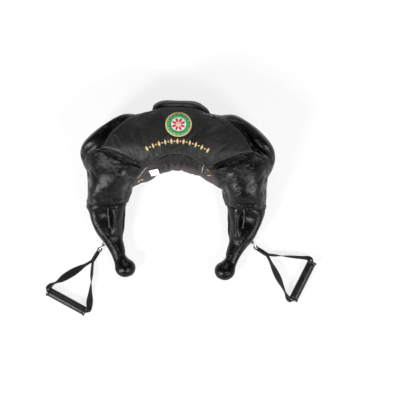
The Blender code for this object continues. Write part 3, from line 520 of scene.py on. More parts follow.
def grid_places():
    """The fine places along the body and the grips, and round the bag."""
    whole = np.arange(0, NECK_RIB + 1)
    outer = RIBS[1:NECK_RIB + 2, 2:4]
    steps = np.linalg.norm(np.diff(outer, axis=0), axis=1)
    half_body = spaced(whole[:CROSS_SEAM + 1], steps[:CROSS_SEAM])
    half_body = np.concatenate([half_body, CROSS_SEAM + LIP * np.array([0.4, 0.75, 1.0])])
    body = np.concatenate([-half_body[::-1], half_body[1:]])
    funnel = spaced(whole[CROSS_SEAM:], steps[CROSS_SEAM:] * 2.3)
    bulb = NECK_RIB + np.linspace(0, 1, 27)[1:]
    grip = np.concatenate([funnel, bulb])
    around = np.concatenate([np.linspace(band, band + 1, count, endpoint=False)
                             for band, count in enumerate((44, 48, 48, 34))])
    around_grip = np.concatenate([np.linspace(low, high, count, endpoint=False) for low, high, count in
                                  ((0, 1.16, 28), (1.16, 1.84, 54), (1.84, 4, 54))])
    return body, grip, around, around_grip


BODY_PLACES, GRIP_PLACES, AROUND, AROUND_GRIP = grid_places()


def cells_of(rows, columns, closed):
    """Every cell of a grid, which is closed round its columns or open."""
    return [(i, j) for i in range(rows - 1) for j in range(columns if closed else columns - 1)]


def corners_at(i, j, columns):
    """The numbers of a cell's four corners."""
    after = (j + 1) % columns
    return i * columns + j, (i + 1) * columns + j, (i + 1) * columns + after, i * columns + after


def quads(rows, columns, closed):
    """The faces of a grid."""
    return [corners_at(i, j, columns) for i, j in cells_of(rows, columns, closed)]


def body_settling():
    """The cloth's movement on every second node of the body's grid."""
    ks, vs = BODY_PLACES[::2], AROUND[::2]
    k, v = grid_of(ks, vs)
    points, _, along, around = skin_frame(k, v)
    half, place = np.abs(k), v
    seam = seam_distance(k, v, along, around) < 0.0025
    crown = (half <= COLLAR_END) & (place >= 1) & (place <= 2)
    low = points[..., 2] < 0.006
    ends = half > CROSS_SEAM - 0.1
    flap = (half < FLAP_END + 0.2) & (place > 2.15) & (place < 2.85)
    held = (seam | crown | low | ends | flap).ravel()
    step = settle(points.reshape(-1, 3), quads(len(ks), len(vs), True), held, 5.0, 0.022, 0.0035)
    return ks, vs, step.reshape(k.shape + (3,))


SETTLED = body_settling()


def settled_step(k, v):
    """The cloth's movement at any places on the body, between the nodes it was found on."""
    ks, vs, field = SETTLED
    place = np.interp(k, ks, np.arange(len(ks)))
    ring = np.interp(v % 4, np.append(vs, 4.0), np.arange(len(vs) + 1))
    total = np.zeros(np.shape(k) + (3,))
    i, j = np.floor(place).astype(int), np.floor(ring).astype(int)
    s, t = place - i, ring - j
    for a in range(-1, 3):
        for b in range(-1, 3):
            weight = cubic_weight(s - a) * cubic_weight(t - b)
            total += weight[..., None] * field[np.clip(i + a, 0, len(ks) - 1), (j + b) % len(vs)]
    return total * (np.abs(k) <= CROSS_SEAM + LIP)[..., None]


def cubic_weight(x):
    """The smooth curve's weight for a node x steps away."""
    x = np.abs(x)
    return np.where(x < 1, 1.5 * x ** 3 - 2.5 * x ** 2 + 1,
                    np.where(x < 2, -0.5 * x ** 3 + 2.5 * x ** 2 - 4 * x + 2, 0))


def leather_points(k, v, body=True):
    """The finished outer surface of the leather and its outward directions. The arm
    rolls over the cross seam, and the grip starts tucked in under it."""
    points, normal, along, around = skin_frame(k, v)
    past = (np.abs(k) - CROSS_SEAM) / LIP
    height = relief(k, v, points, along, around)
    top = gauss(v % 4, 1.5, 0.42)
    if body:
        height -= 0.0018 * np.clip(past, 0, 1) ** 3
    else:
        height -= (0.0007 + 0.0036 * top) * (1 - rise(past, 0.8, 6.5))
    moved = points + settled_step(k, v) + normal * height[..., None]
    moved[..., 2] = np.maximum(moved[..., 2], 0.0003)
    return moved, normal


# Making objects


# How far a sheet's edges are drawn in, so that its neighbour's edge shows beside it
EDGE_TURN = 0.00022
SIGNS = {"left": -1, "right": 1}
# What the threads and small pieces are laid on, by name
TREES = {}


def make_object(name, points, faces, finish, body, replaces=(), slot=None, sharp=None):
    """A piece of the part, smooth but for edges sharper than so many degrees."""
    mesh = bpy.data.meshes.new(name)
    mesh.from_pydata([tuple(p) for p in points], [], [tuple(int(n) for n in f) for f in faces])
    mesh.validate()
    item = placed(name, mesh)
    mesh.materials.append(finish)
    mesh.shade_smooth()
    if sharp:
        mesh.set_sharp_from_angle(angle=math.radians(sharp))
    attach(item, body)
    if replaces:
        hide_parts(*replaces)
    return item


def joined(parts):
    """One mesh from several."""
    points, faces = [], []
    for part_points, part_faces in parts:
        faces += [tuple(n + len(points) for n in f) for f in part_faces]
        points += list(part_points)
    return points, faces


def make_sewn(name, parts, finish, slot="leather", body="bag"):
    """Threads and the like in one piece, which replaces no solid."""
    return make_object(name, *joined(parts), finish, body, (), slot)


def shell_mesh(outer, inner, closed=False, cells=None):
    """A closed shell between two grids of points, over all of their cells or some."""
    rows, columns = outer.shape[:2]
    outer, inner = outer.reshape(-1, 3), inner.reshape(-1, 3)
    corners_of = {cell: corners_at(*cell, columns) for cell in cells or cells_of(rows, columns, closed)}
    used = np.zeros(len(outer), bool)
    used[np.array(list(corners_of.values()))] = True
    number = np.cumsum(used) - 1
    count = int(used.sum())
    outside, inside = outer[used], inner[used]
    faces, rim = [], {}
    for (i, j), corners in corners_of.items():
        a, b, c, d = (int(number[n]) for n in corners)
        faces.append((a, b, c, d))
        faces.append((d + count, c + count, b + count, a + count))
        left, right = (i, (j - 1) % columns), (i, (j + 1) % columns)
        sides = ((a, b, left), (b, c, (i + 1, j)), (c, d, right), (d, a, (i - 1, j)))
        for p, q, other in sides:
            if other not in corners_of:
                faces.append((q, p, p + count, q + count))
                rim.setdefault(p, []).append((i, j))
                rim.setdefault(q, []).append((i, j))
    for node, around in rim.items():
        middles = [outer[list(corners_of[cell])].mean(axis=0) for cell in around]
        inward = np.mean(middles, axis=0) - outside[node]
        shift = inward / max(np.linalg.norm(inward), 1e-9) * EDGE_TURN
        outside[node] += shift
        inside[node] += shift
    return np.concatenate([outside, inside]), faces


def panel_name(k, v):
    """Which leather panel covers a cell."""
    half, band = abs(k), int(v)
    side = "left" if k < 0 else "right"
    if half > CROSS_SEAM:
        return f"grip_top_{side}" if band < 2 else f"grip_under_{side}"
    if band == 0:
        return "neck_gusset" if half < GUSSET_END else f"arm_top_{side}"
    if band == 1:
        return "crown_panel" if half < COLLAR_END else f"arm_top_{side}"
    if band == 2 and half < GUSSET_END:
        return "back_panel_middle" if half < BACK_MIDDLE_END else f"back_panel_{side}"
    if band == 3 and half < COLLAR_END:
        return "base_panel"
    return f"arm_under_{side}"


def make_panels():
    """Every leather panel as a closed sheet with turned-in edges."""
    parts = []
    for ks, vs, look in ((BODY_PLACES, AROUND, LEATHER_LOOK), (-GRIP_PLACES[::-1], AROUND_GRIP, GRIP_LOOK),
                         (GRIP_PLACES, AROUND_GRIP, GRIP_LOOK)):
        body = ks is BODY_PLACES
        k, v = grid_of(ks, vs)
        outer, normal = leather_points(k, v, body)
        inner = outer - normal * LEATHER
        inner[..., 2] = np.maximum(inner[..., 2], LEATHER)
        along, ends = (ks[:-1] + ks[1:]) / 2, np.append(vs, 4.0)
        if body:
            along = np.clip(along, -CROSS_SEAM, CROSS_SEAM)
        cells_by_name = {}
        for i, j in cells_of(len(ks), len(vs), True):
            name = panel_name(along[i], (ends[j] + ends[j + 1]) / 2)
            cells_by_name.setdefault(name, []).append((i, j))
        for name, cells in sorted(cells_by_name.items()):
            parts.append(shell_mesh(outer, inner, True, cells))
            finish = GUSSET_LOOK if name == "neck_gusset" else look
            make_object(f"{name}_leather", *parts[-1], finish, "bag", [name], "leather", sharp=50)
    points, faces = joined(parts)
    TREES["leather"] = BVHTree.FromPolygons(np.array(points).tolist(), faces)


def on_leather(k, v, lift=0.0):
    """Points above the finished leather at some places, and the directions out of it."""
    k, v = np.broadcast_arrays(np.asarray(k, float), np.asarray(v, float))
    points, normal = leather_points(k, v, bool(np.all(np.abs(k) <= CROSS_SEAM)))
    return points + normal * lift, normal


def dropped(tree, x, y, lift=0.0):
    """The point above the highest place of a surface under (x, y), and its direction."""
    hit, facing, _, _ = TREES[tree].ray_cast(Vector((x, y, 0.5)), Vector((0, 0, -1)))
    return hit + facing * lift, facing


# How deep in the bag the wool wrap's two faces, the sand bags and the grips' cores lie
WOOL_DEPTHS = (0.016, 0.030)
SAND_DEPTH = 0.0325
CORE_DEPTH = 0.0125


def make_filling():
    """Wool wraps, sand bags and grip cores, all hidden by the leather."""
    vs = np.linspace(0, 4, 48, endpoint=False)
    for part, low, high in (("middle", -COLLAR_END, COLLAR_END), ("left", -CROSS_SEAM, -COLLAR_END),
                            ("right", COLLAR_END, CROSS_SEAM)):
        k, v = grid_of(np.linspace(low + 0.05, high - 0.05, 40), vs)
        wrap = shell_mesh(*(skin(k, v, depth) for depth in WOOL_DEPTHS), True)
        make_object(f"wool_wrap_{part}_fleece", *wrap, WOOL_LOOK, "bag", [f"wool_wrap_{part}"], "wool")
        make_lump(f"sand_bag_{part}", "canvas", skin(k, v, SAND_DEPTH), SAND_LOOK, "sand")
    for side, sign in SIGNS.items():
        ks = np.linspace(CROSS_SEAM + 0.15, TIP_RIB - 0.1, 50)
        k, v = grid_of(ks if sign > 0 else -ks[::-1], vs)
        make_lump(f"grip_core_{side}", "packing", skin(k, v, CORE_DEPTH), WOOL_LOOK, "wool")


def make_lump(name, stuff, grid, finish, slot):
    """A closed lump from rings of points."""
    rows, columns = grid.shape[:2]
    faces = quads(rows, columns, True) + end_faces(rows, columns)
    make_object(f"{name}_{stuff}", grid.reshape(-1, 3), faces, finish, "bag", [name], slot)


# Threads, tubes, bands and turned pieces


def ring_faces(count, sides, closed=True, flip=False):
    """The faces round a row of rings, each with so many sides. Flip turns them over."""
    faces = []
    for n in range(count if closed else count - 1):
        shift = ((n + 1) % count - n) * sides
        for side in range(sides):
            a, b = n * sides + side, n * sides + (side + 1) % sides
            faces.append((b, a, a + shift, b + shift) if flip else (a, b, b + shift, a + shift))
    return faces


def end_faces(count, sides):
    """The faces over both ends of a row of rings."""
    first = tuple(range(sides - 1, -1, -1))
    return [first, tuple((count - 1) * sides + side for side in range(sides))]


def turned_over(faces):
    """The same faces seen from their other side."""
    return [tuple(reversed(face)) for face in faces]


def tube_mesh(path, radius, sides, closed=False, ups=None):
    """A round tube along a path of points, with closed ends. The radius is one number,
    or one for each point."""
    path = [Vector(p) for p in path]
    count = len(path)
    points = []
    for n, point in enumerate(path):
        before = path[n - 1] if n or closed else path[n]
        after = path[(n + 1) % count] if n + 1 < count or closed else path[n]
        direction = (after - before).normalized()
        up = Vector(ups[n]) if ups is not None else Vector((0, 0, 1))
        flat = direction.cross(up)
        flat = flat.normalized() if flat.length > 1e-6 else Vector((1, 0, 0))
        lift = flat.cross(direction).normalized()
        here = radius[n] if hasattr(radius, "__len__") else radius
        for side in range(sides):
            angle = 2 * math.pi * side / sides
            points.append(point + (flat * math.cos(angle) + lift * math.sin(angle)) * here)
    faces = ring_faces(count, sides, closed, flip=True)
    return points, faces if closed else faces + turned_over(end_faces(count, sides))


# A stitch: shares of its length, and its height there in radii of the thread
STITCH_ARCH = ((0.0, -0.6), (0.2, 0.35), (0.5, 0.6), (0.8, 0.35), (1.0, -0.6))


def stitch_mesh(places, facings, length, gap, radius):
    """A row of short threads along a path, each arched a little off the surface."""
    places = [Vector(p) for p in places]
    marks = [0.0]
    for a, b in zip(places[:-1], places[1:]):
        marks.append(marks[-1] + (b - a).length)
    parts = []
    start = gap / 2
    while start + length < marks[-1]:
        path, ups = [], []
        for share, lift in STITCH_ARCH:
            mark = start + length * share
            n = min(int(np.searchsorted(marks, mark, side="right")) - 1, len(places) - 2)
            t = (mark - marks[n]) / max(marks[n + 1] - marks[n], 1e-9)
            up = Vector(facings[n]).lerp(Vector(facings[n + 1]), t).normalized()
            path.append(places[n].lerp(places[n + 1], t) + up * radius * lift)
            ups.append(up)
        parts.append(tube_mesh(path, radius, 5, ups=ups))
        start += length + gap
    return joined(parts)


def turned_mesh(profile, centre, heading, sides=48):
    """A piece turned about a level axis through centre, from a closed profile of
    places along the axis and radii."""
    cos, sin = math.cos(heading), math.sin(heading)
    points = []
    for x, radius in profile:
        for side in range(sides):
            angle = 2 * math.pi * side / sides
            across, lift = radius * math.cos(angle), radius * math.sin(angle)
            offset = (x * cos - across * sin, x * sin + across * cos, lift)
            points.append([a + b for a, b in zip(centre, offset)])
    return points, ring_faces(len(profile), sides, flip=True)


# The cross-section of a flat band: shares of its width and thickness
BAND_SECTION = [
    (-0.5, -0.30), (-0.47, 0.30), (-0.40, 0.5), (-0.2, 0.5), (0, 0.5), (0.2, 0.5), (0.40, 0.5),
    (0.47, 0.30), (0.5, -0.30), (0.40, -0.5), (0.2, -0.5), (0, -0.5), (-0.2, -0.5), (-0.40, -0.5)]


def band_mesh(centres, across, face, widths, thicknesses, closed):
    """A flat band with soft edges along a path."""
    points = []
    for centre, a, f, width, thickness in zip(centres, across, face, widths, thicknesses):
        for x, y in BAND_SECTION:
            points.append(Vector(centre) + Vector(a) * (x * width) + Vector(f) * (y * thickness))
    count, sides = len(centres), len(BAND_SECTION)
    faces = ring_faces(count, sides, closed)
    return points, faces if closed else faces + end_faces(count, sides)


# Materials


def rgba(colour, share=1.0):
    """A colour with its opacity, darkened to a share of itself."""
    return (*[c * share for c in colour], 1.0)


class Nodes:
    """A node tree and short ways to add to it. Most of them give back an output."""

    def __init__(self, tree, space="Object"):
        self.tree = tree
        self.where = self.add("TexCoord").outputs[space]

    def fill(self, sockets, values):
        """Each value set on its socket, or linked to it where it is an output."""
        for name, value in values.items():
            if hasattr(value, "is_output"):
                self.tree.links.new(value, sockets[name])
            else:
                sockets[name].default_value = value

    def add(self, kind, values=None, **settings):
        """A new node of a kind, with its settings made and its sockets filled."""
        node = self.tree.nodes.new(f"ShaderNode{kind}")
        for key, value in settings.items():
            setattr(node, key, value)
        self.fill(node.inputs, values or {})
        return node

    def noise(self, scale, detail=2.0, roughness=0.5, distortion=0.0, where=None, output="Fac"):
        """Cloudy noise, so many lumps a metre."""
        values = {"Vector": self.where if where is None else where, "Scale": scale, "Detail": detail,
                  "Roughness": roughness, "Distortion": distortion}
        return self.add("TexNoise", values).outputs[output]

    def wave(self, scale, distortion, detail, direction="X"):
        """Wavy bands across a direction."""
        values = {"Vector": self.where, "Scale": scale, "Distortion": distortion, "Detail": detail}
        return self.add("TexWave", values, bands_direction=direction).outputs["Fac"]

    def calc(self, operation, one, other):
        """Two values brought together, by adding or multiplying them and the like."""
        return self.add("Math", {0: one, 1: other}, operation=operation).outputs[0]

    def spread(self, value, low=0.0, high=1.0, to_low=0.0, to_high=1.0, kind="LINEAR"):
        """The range from low to high spread over another one."""
        values = {"Value": value, "From Min": low, "From Max": high, "To Min": to_low, "To Max": to_high}
        return self.add("MapRange", values, interpolation_type=kind).outputs["Result"]

    def mixed(self, share, one, other):
        """One colour where the share is zero, and the other where it is one."""
        return self.add("Mix", {"Factor": share, 6: one, 7: other}, data_type="RGBA").outputs[2]

    def ramp(self, value, stops):
        """A smooth ramp from one colour to the next."""
        node = self.add("ValToRGB", {"Fac": value})
        node.color_ramp.interpolation = "EASE"
        for element, (place, colour) in zip(node.color_ramp.elements, stops):
            element.position = place
            element.color = rgba(colour)
        return node.outputs["Color"]

    def bump(self, height, strength, distance, below=None):
        """Relief in the shading alone, on top of the relief below it."""
        values = {"Height": height, "Strength": strength, "Distance": distance}
        if below is not None:
            values["Normal"] = below
        return self.add("Bump", values).outputs["Normal"]


def new_look(name):
    """A new material, its nodes and its shader's sockets."""
    made = bpy.data.materials.new(name)
    made.use_nodes = True
    return made, Nodes(made.node_tree), made.node_tree.nodes["Principled BSDF"].inputs


def leather_look(name, base, worn, roughness, cell, grain, specular, crease=0.35, painted_lower_light=None):
    """Pebbled leather: cells with fine creases between, painted darker in the creases as shade, uneven dye
    and shine.
    Its last argument, where given, is painted light: a paler colour in patches over its lower part, where
    the lamps fall on it."""
    made, nodes, sockets = new_look(name)
    bend = nodes.noise(160.0, output="Color")
    bent = nodes.add("Mix", {"Factor": 0.0022, 4: nodes.where, 5: bend}, data_type="VECTOR").outputs[1]
    cells = nodes.add("TexVoronoi", {"Vector": bent, "Scale": cell}, feature="DISTANCE_TO_EDGE")
    small = nodes.add("TexVoronoi", {"Vector": bent, "Scale": cell * 2.7}, feature="F1")
    dome = nodes.spread(cells.outputs["Distance"], high=0.28, kind="SMOOTHSTEP")
    wrinkled = nodes.calc("ADD", nodes.calc("SUBTRACT", dome, small.outputs["Distance"]),
                          nodes.noise(70.0, 2.5, 0.55, 1.0))
    tumbled = nodes.noise(210.0, 1.0, 0.4, where=bent)
    slow = nodes.noise(22.0, 4.0, 0.6)
    # Painted shade: the colour is darkened to 0.45 of the base in the creases between the cells.
    colour = nodes.mixed(dome, rgba(base, 0.45), nodes.ramp(slow, [(0.30, base), (0.75, worn)]))
    # Painted light: where the last argument is given, a paler colour in patches over the lower part, which
    # the lamps light.
    if painted_lower_light:
        height = nodes.add("SeparateXYZ", {"Vector": nodes.where}).outputs["Z"]
        low = nodes.spread(height, 0.166, 0.140, kind="SMOOTHSTEP")
        colour = nodes.mixed(nodes.calc("MULTIPLY", low, slow), colour, rgba(painted_lower_light))
    shine = nodes.spread(slow, 0.3, 0.7, roughness - 0.05, roughness + 0.07)
    nodes.fill(sockets, {
        "Normal": nodes.bump(tumbled, crease, 0.0012, nodes.bump(wrinkled, grain, 0.00020)),
        "Base Color": colour,
        "Roughness": nodes.calc("ADD", shine, nodes.calc("MULTIPLY", nodes.noise(900.0, 3.0), 0.10)),
        "Specular IOR Level": specular})
    return made


def webbing_look(name, base, worn):
    """Woven webbing: ribs both ways, painted darker between them as shade, slightly frayed and uneven."""
    made, nodes, sockets = new_look(name)
    warp, weft = nodes.wave(180.0, 1.5, 1.0, "DIAGONAL"), nodes.wave(144.0, 2.0, 1.0, "Z")
    woven = nodes.calc("MULTIPLY", warp, weft)
    tone = nodes.ramp(nodes.noise(60.0, 3.0), [(0.35, base), (0.7, worn)])
    # Painted shade: the colour is halved between the ribs of the weave.
    nodes.fill(sockets, {"Normal": nodes.bump(woven, 0.6, 0.0005),
                         "Base Color": nodes.mixed(woven, rgba(base, 0.5), tone),
                         "Roughness": 0.8, "Sheen Weight": 0.04, "Specular IOR Level": 0.25})
    return made


def plastic_look(name, base, worn, roughness, scale, depth, specular=0.5):
    """Moulded plastic or soft foam skin with fine pitting and slight scuffs."""
    made, nodes, sockets = new_look(name)
    slow = nodes.noise(55.0, 4.0, 0.6)
    nodes.fill(sockets, {"Normal": nodes.bump(nodes.noise(scale), 0.5, depth),
                         "Base Color": nodes.ramp(slow, [(0.35, base), (0.72, worn)]),
                         "Roughness": nodes.spread(slow, 0.3, 0.7, roughness - 0.06, roughness + 0.1),
                         "Specular IOR Level": specular})
    return made


def steel_look(name):
    """Bright plated wire with faint scratches and dull spots."""
    made, nodes, sockets = new_look(name)
    slow = nodes.noise(240.0, 4.0)
    tone = nodes.ramp(slow, [(0.3, (0.50, 0.50, 0.52)), (0.7, (0.82, 0.82, 0.84))])
    scratches = nodes.wave(900.0, 6.0, 2.0)
    nodes.fill(sockets, {"Normal": nodes.bump(scratches, 0.12, 0.0002), "Base Color": tone,
                         "Roughness": nodes.spread(slow, to_low=0.14, to_high=0.34), "Metallic": 1.0})
    return made


def thread_look(name, base, worn, sheen=0.3):
    """Embroidery or sewing thread: fine twisted strands with a soft lustre, painted darker between the
    strands as shade.
    """
    made, nodes, sockets = new_look(name)
    strands = nodes.wave(1500.0, 3.0, 2.0, "DIAGONAL")
    tone = nodes.ramp(nodes.noise(300.0, 3.0), [(0.3, base), (0.7, worn)])
    # Painted shade: the colour is darkened to 0.7 of the base between the strands.
    nodes.fill(sockets, {"Normal": nodes.bump(strands, 0.5, 0.0003),
                         "Base Color": nodes.mixed(strands, rgba(base, 0.7), tone),
                         "Roughness": 0.55, "Sheen Weight": sheen})
    return made


LEATHER_LOOK = leather_look("black_leather", (0.0022, 0.0020, 0.0018), (0.0060, 0.0056, 0.0050),
                            0.205, 310.0, 0.55, 0.25, crease=0.85)
GRIP_LOOK = leather_look("smooth_black_leather", (0.0022, 0.0020, 0.0018), (0.0050, 0.0047, 0.0043),
                         0.205, 430.0, 0.45, 0.20, crease=0.42)
# The gusset's paler lower part is painted light.
GUSSET_LOOK = leather_look("matt_gusset_leather", (0.0060, 0.0055, 0.0053), (0.0150, 0.0140, 0.0135),
                           0.55, 420.0, 0.6, 0.25, crease=0.3, painted_lower_light=(0.078, 0.064, 0.066))
COLLAR_LOOK = leather_look("collar_leather_grain", (0.0075, 0.0070, 0.0064), (0.0180, 0.0168, 0.0154),
                           0.40, 480.0, 0.5, 0.27, crease=0.60)
# Painted highlight: the piping's leather is a lighter grey than the black leather, for the thin light line
# along its top.
PIPING_HIGHLIGHT_LOOK = leather_look("edge_leather_painted_highlight", (0.020, 0.019, 0.018), (0.050, 0.047, 0.044),
                         0.30, 800.0, 0.3, 0.5)
# Painted highlight: the darts' welts are a lighter grey than the leather, for the bright line along each
# dart.
WELT_HIGHLIGHT_LOOK = leather_look("welt_painted_highlight", (0.050, 0.048, 0.045), (0.110, 0.105, 0.100),
                         0.34, 800.0, 0.3, 0.5)
WEB_LOOK = webbing_look("black_webbing", (0.0035, 0.0034, 0.0030), (0.0090, 0.0085, 0.0072))
SLEEVE_LOOK = plastic_look("grip_sleeve", (0.0045, 0.0036, 0.0038), (0.0100, 0.0080, 0.0084),
                           0.38, 700.0, 0.0003, 0.33)
CAP_LOOK = plastic_look("moulded_caps", (0.0045, 0.0045, 0.0048), (0.0090, 0.0090, 0.0095),
                        0.26, 420.0, 0.0002)
STEEL_LOOK = steel_look("plated_steel")
WOOL_LOOK = plastic_look("wool_fleece", (0.52, 0.48, 0.41), (0.68, 0.64, 0.56), 0.85, 260.0, 0.002, 0.1)
SAND_LOOK = plastic_look("sand_canvas", (0.55, 0.50, 0.42), (0.68, 0.63, 0.54), 0.85, 900.0, 0.0008, 0.1)
GOLD_LOOK = thread_look("gold_thread", (0.62, 0.43, 0.17), (0.80, 0.60, 0.30))
WHITE_LOOK = thread_look("white_thread", (0.72, 0.72, 0.70), (0.85, 0.85, 0.83))
GREEN_LOOK = thread_look("green_thread", (0.004, 0.28, 0.075), (0.010, 0.40, 0.11), sheen=0.05)
RED_LOOK = thread_look("red_thread", (0.55, 0.008, 0.006), (0.74, 0.016, 0.012), sheen=0.05)
BLACK_LOOK = thread_look("black_thread", (0.0025, 0.0025, 0.0025), (0.0060, 0.0058, 0.0056), sheen=0.0)
STITCH_LOOK = thread_look("grey_thread", (0.07, 0.068, 0.065), (0.16, 0.155, 0.15))
YELLOW_LOOK = thread_look("yellow_thread", (0.55, 0.48, 0.10), (0.80, 0.72, 0.25))
LABEL_LOOK = plastic_look("white_tape", (0.92, 0.92, 0.91), (0.96, 0.96, 0.95), 0.7, 900.0, 0.0003, 0.2)


make_panels()
make_filling()


# The collar: a padded sheet over the crown, sewn down round its edge

# How far above the skin the padded pieces lie
PAD_GAP = 0.0004


def collar_end(v):
    """How far along the bag the collar reaches, which is less at its inner edge."""
    return COLLAR_END * (1 - COLLAR_SLANT * (2 - v))


def collar_outer(k):
    """The place round the bag of the collar's outer edge, which draws in at the flap."""
    return 2 - 0.10 * (1 - rise(np.abs(k), 1.2, 2.6))


def collar_grid():
    """The places along and round the bag of the collar's nodes."""
    steps = np.linalg.norm(np.diff(RIBS[1:COLLAR_END + 2, 2:4], axis=0), axis=1)
    half = spaced(np.arange(0, COLLAR_END + 1), steps)
    k, v = grid_of(np.concatenate([-half[::-1], half[1:]]), np.linspace(1, 2, 44))
    v = 1 + (v - 1) * (collar_outer(k) - 1)
    return k * collar_end(v) / COLLAR_END, v


def edge_distance(k, v, along, around):
    """Metres to the collar's edge."""
    to_end = np.maximum(collar_end(v) - np.abs(k), 0) * along
    to_side = np.minimum(v - 1, np.maximum(collar_outer(k) - v, 0)) * around
    return np.minimum(to_end, to_side)


def collar_relief(k, v, points, distance):
    """The collar's own creases and quilting, on top of its padded thickness."""
    x, y = points[..., 0], points[..., 1]
    out = -0.0006 * gauss(distance, 0.0042, 0.0016)
    out += 0.0006 * np.sin(k * 9.0 + v * 21.0) * np.exp(-distance / 0.010)
    for ax, ay, bx, by, depth, width in CREASES:
        run = np.array([bx - ax, by - ay])
        length = np.hypot(*run)
        run = run / length
        along = (x - ax) * run[0] + (y - ay) * run[1]
        across = -(x - ax) * run[1] + (y - ay) * run[0] - 0.004 * np.sin(along / 0.012)
        strength = depth * np.sin(np.pi * np.clip(along / length, 0, 1))
        out -= strength * (gauss(across, 0, width) - 0.6 * gauss(across, 2.2 * width, 1.6 * width))
    out += 0.0013 * lumps(points, 14, 21) + 0.0006 * lumps(points, 42, 22)
    return out - 0.0006 * folds(points, 17, 24, (1, 1.5, 1))


# Soft creases on the collar: from x, y to x, y, depth and half width
CREASES = [
    (0.058, 0.020, 0.030, -0.038, 0.0020, 0.0050),
    (0.112, 0.036, 0.064, -0.010, 0.0013, 0.0060),
    (-0.046, 0.052, -0.060, -0.016, 0.0010, 0.0060),
    (-0.120, 0.010, -0.080, -0.040, 0.0009, 0.0070),
    (0.010, -0.020, -0.030, -0.044, 0.0010, 0.0050),
    (0.150, -0.010, 0.118, -0.050, 0.0010, 0.0060),
]


def make_collar():
    """The collar as a padded sheet: its top, the skin below it and the directions out."""
    k, v = collar_grid()
    points, normal, along, around = skin_frame(k, v)
    distance = edge_distance(k, v, along, around)
    rounded = 0.50 + 0.50 * (1 - np.exp(-(distance / 0.0034) ** 1.5))
    height = PAD_GAP + COLLAR_THICKNESS * rounded
    top = points + normal * height[..., None]
    held = (distance < 0.007).ravel()
    step = settle(top.reshape(-1, 3), quads(*k.shape, False), held, 1.6, 0.012, 0.0014)
    top = top + step.reshape(top.shape)
    top = top + normal * (collar_relief(k, v, points, distance) * rise(distance, 0.0, 0.004))[..., None]
    mesh_points, faces = shell_mesh(top, points + normal * PAD_GAP)
    item = make_object("collar_padded", mesh_points, faces, COLLAR_LOOK, "bag",
                       ["collar_leather", "collar_pad"], "collar", sharp=60)
    TREES["collar"] = BVHTree.FromPolygons(mesh_points.tolist(), faces)
    return top, points, normal


def edge_walk(grid):
    """The nodes round the collar's edge, in order."""
    return np.concatenate([grid[:, 0], grid[-1, 1:], grid[-2::-1, -1], grid[0, -2:0:-1]])


def make_collar_trim(top, base, normal):
    """The rolled edge round the collar."""
    rim_top, rim_base, rim_normal = edge_walk(top), edge_walk(base), edge_walk(normal)
    middle = rim_base.mean(axis=0)
    path = rim_base * 0.35 + rim_top * 0.65
    before, after = np.roll(path, 1, axis=0), np.roll(path, -1, axis=0)
    outward = np.cross(unit(after - before), rim_normal)
    smooth = outward * np.sign((outward * (path - middle)).sum())
    for _ in range(3):
        smooth = unit(smooth + np.roll(smooth, 1, axis=0) + np.roll(smooth, -1, axis=0))
    path = path + smooth * 0.0013
    tube = tube_mesh(path, BINDING_DIAMETER / 2, 10, closed=True, ups=rim_normal)
    make_object("collar_rolled_edge", *tube, GRIP_LOOK, "bag", ["collar_binding"], "collar")


def collar_stitches(top, normal):
    """A row of thread round the collar, a little inside its rolled edge."""
    facing = edge_walk(normal[1:-1, 1:-1])
    ring = edge_walk(top[1:-1, 1:-1]) + facing * 0.0002
    ring, facing = (np.concatenate([a, a[:1]]) for a in (ring, facing))
    stitches = stitch_mesh(ring, facing, 0.0042, 0.0022, 0.00050)
    make_object("collar_edge_stitches", *stitches, STITCH_LOOK, "bag", (), "collar")


collar_top, collar_base, collar_normal = make_collar()
make_collar_trim(collar_top, collar_base, collar_normal)
collar_stitches(collar_top, collar_normal)


def make_strips():
    """The strips below the collar's ends: ribbed across on the left, along on the right."""
    shares, vs = np.linspace(0, 1, 13), np.linspace(1.015, 1.985, 120)
    for side, sign in SIGNS.items():
        share, v = grid_of(shares if sign > 0 else shares[::-1], vs)
        _, _, along, around = skin_frame(sign * (collar_end(v) + 0.3), v)
        k = sign * (collar_end(v) + (0.0030 + STRIP_WIDTH * share) / along)
        points, normal = leather_points(k, v)
        if sign < 0:
            metres = np.cumsum(around * (vs[1] - vs[0]), axis=1)
            ribs = np.abs(np.sin(np.pi * metres / 0.0068)) ** 0.5
        else:
            ribs = np.abs(np.sin(np.pi * share * 3)) ** 0.6
        height = 0.0006 + STRIP_THICKNESS * (0.1 + 0.9 * ribs) * hump(share, -0.25, 1.25)
        mesh = shell_mesh(points + normal * height[..., None], points + normal * 0.0003)
        make_object(f"edge_strip_{side}_ribbed", *mesh, LEATHER_LOOK, "bag", [f"edge_strip_{side}"],
                    "collar", sharp=60)


def make_piping():
    """The cord along each lobe and arm."""
    for side, sign in SIGNS.items():
        path, ups = on_leather(sign * np.linspace(6.05, CROSS_SEAM - 0.05, 150), 2.0, 0.0016)
        for _ in range(4):
            path[1:-1] = (path[:-2] + 2 * path[1:-1] + path[2:]) / 4
        cord = tube_mesh(path, PIPING_DIAMETER / 2, 8, ups=ups)
        # The cord's lighter grey is a painted highlight.
        make_object(f"piping_{side}_cord", *cord, PIPING_HIGHLIGHT_LOOK, "bag", [f"piping_{side}"], "leather")


# The place round the bag of the flap's lower edge
FLAP_LOW = 2.74


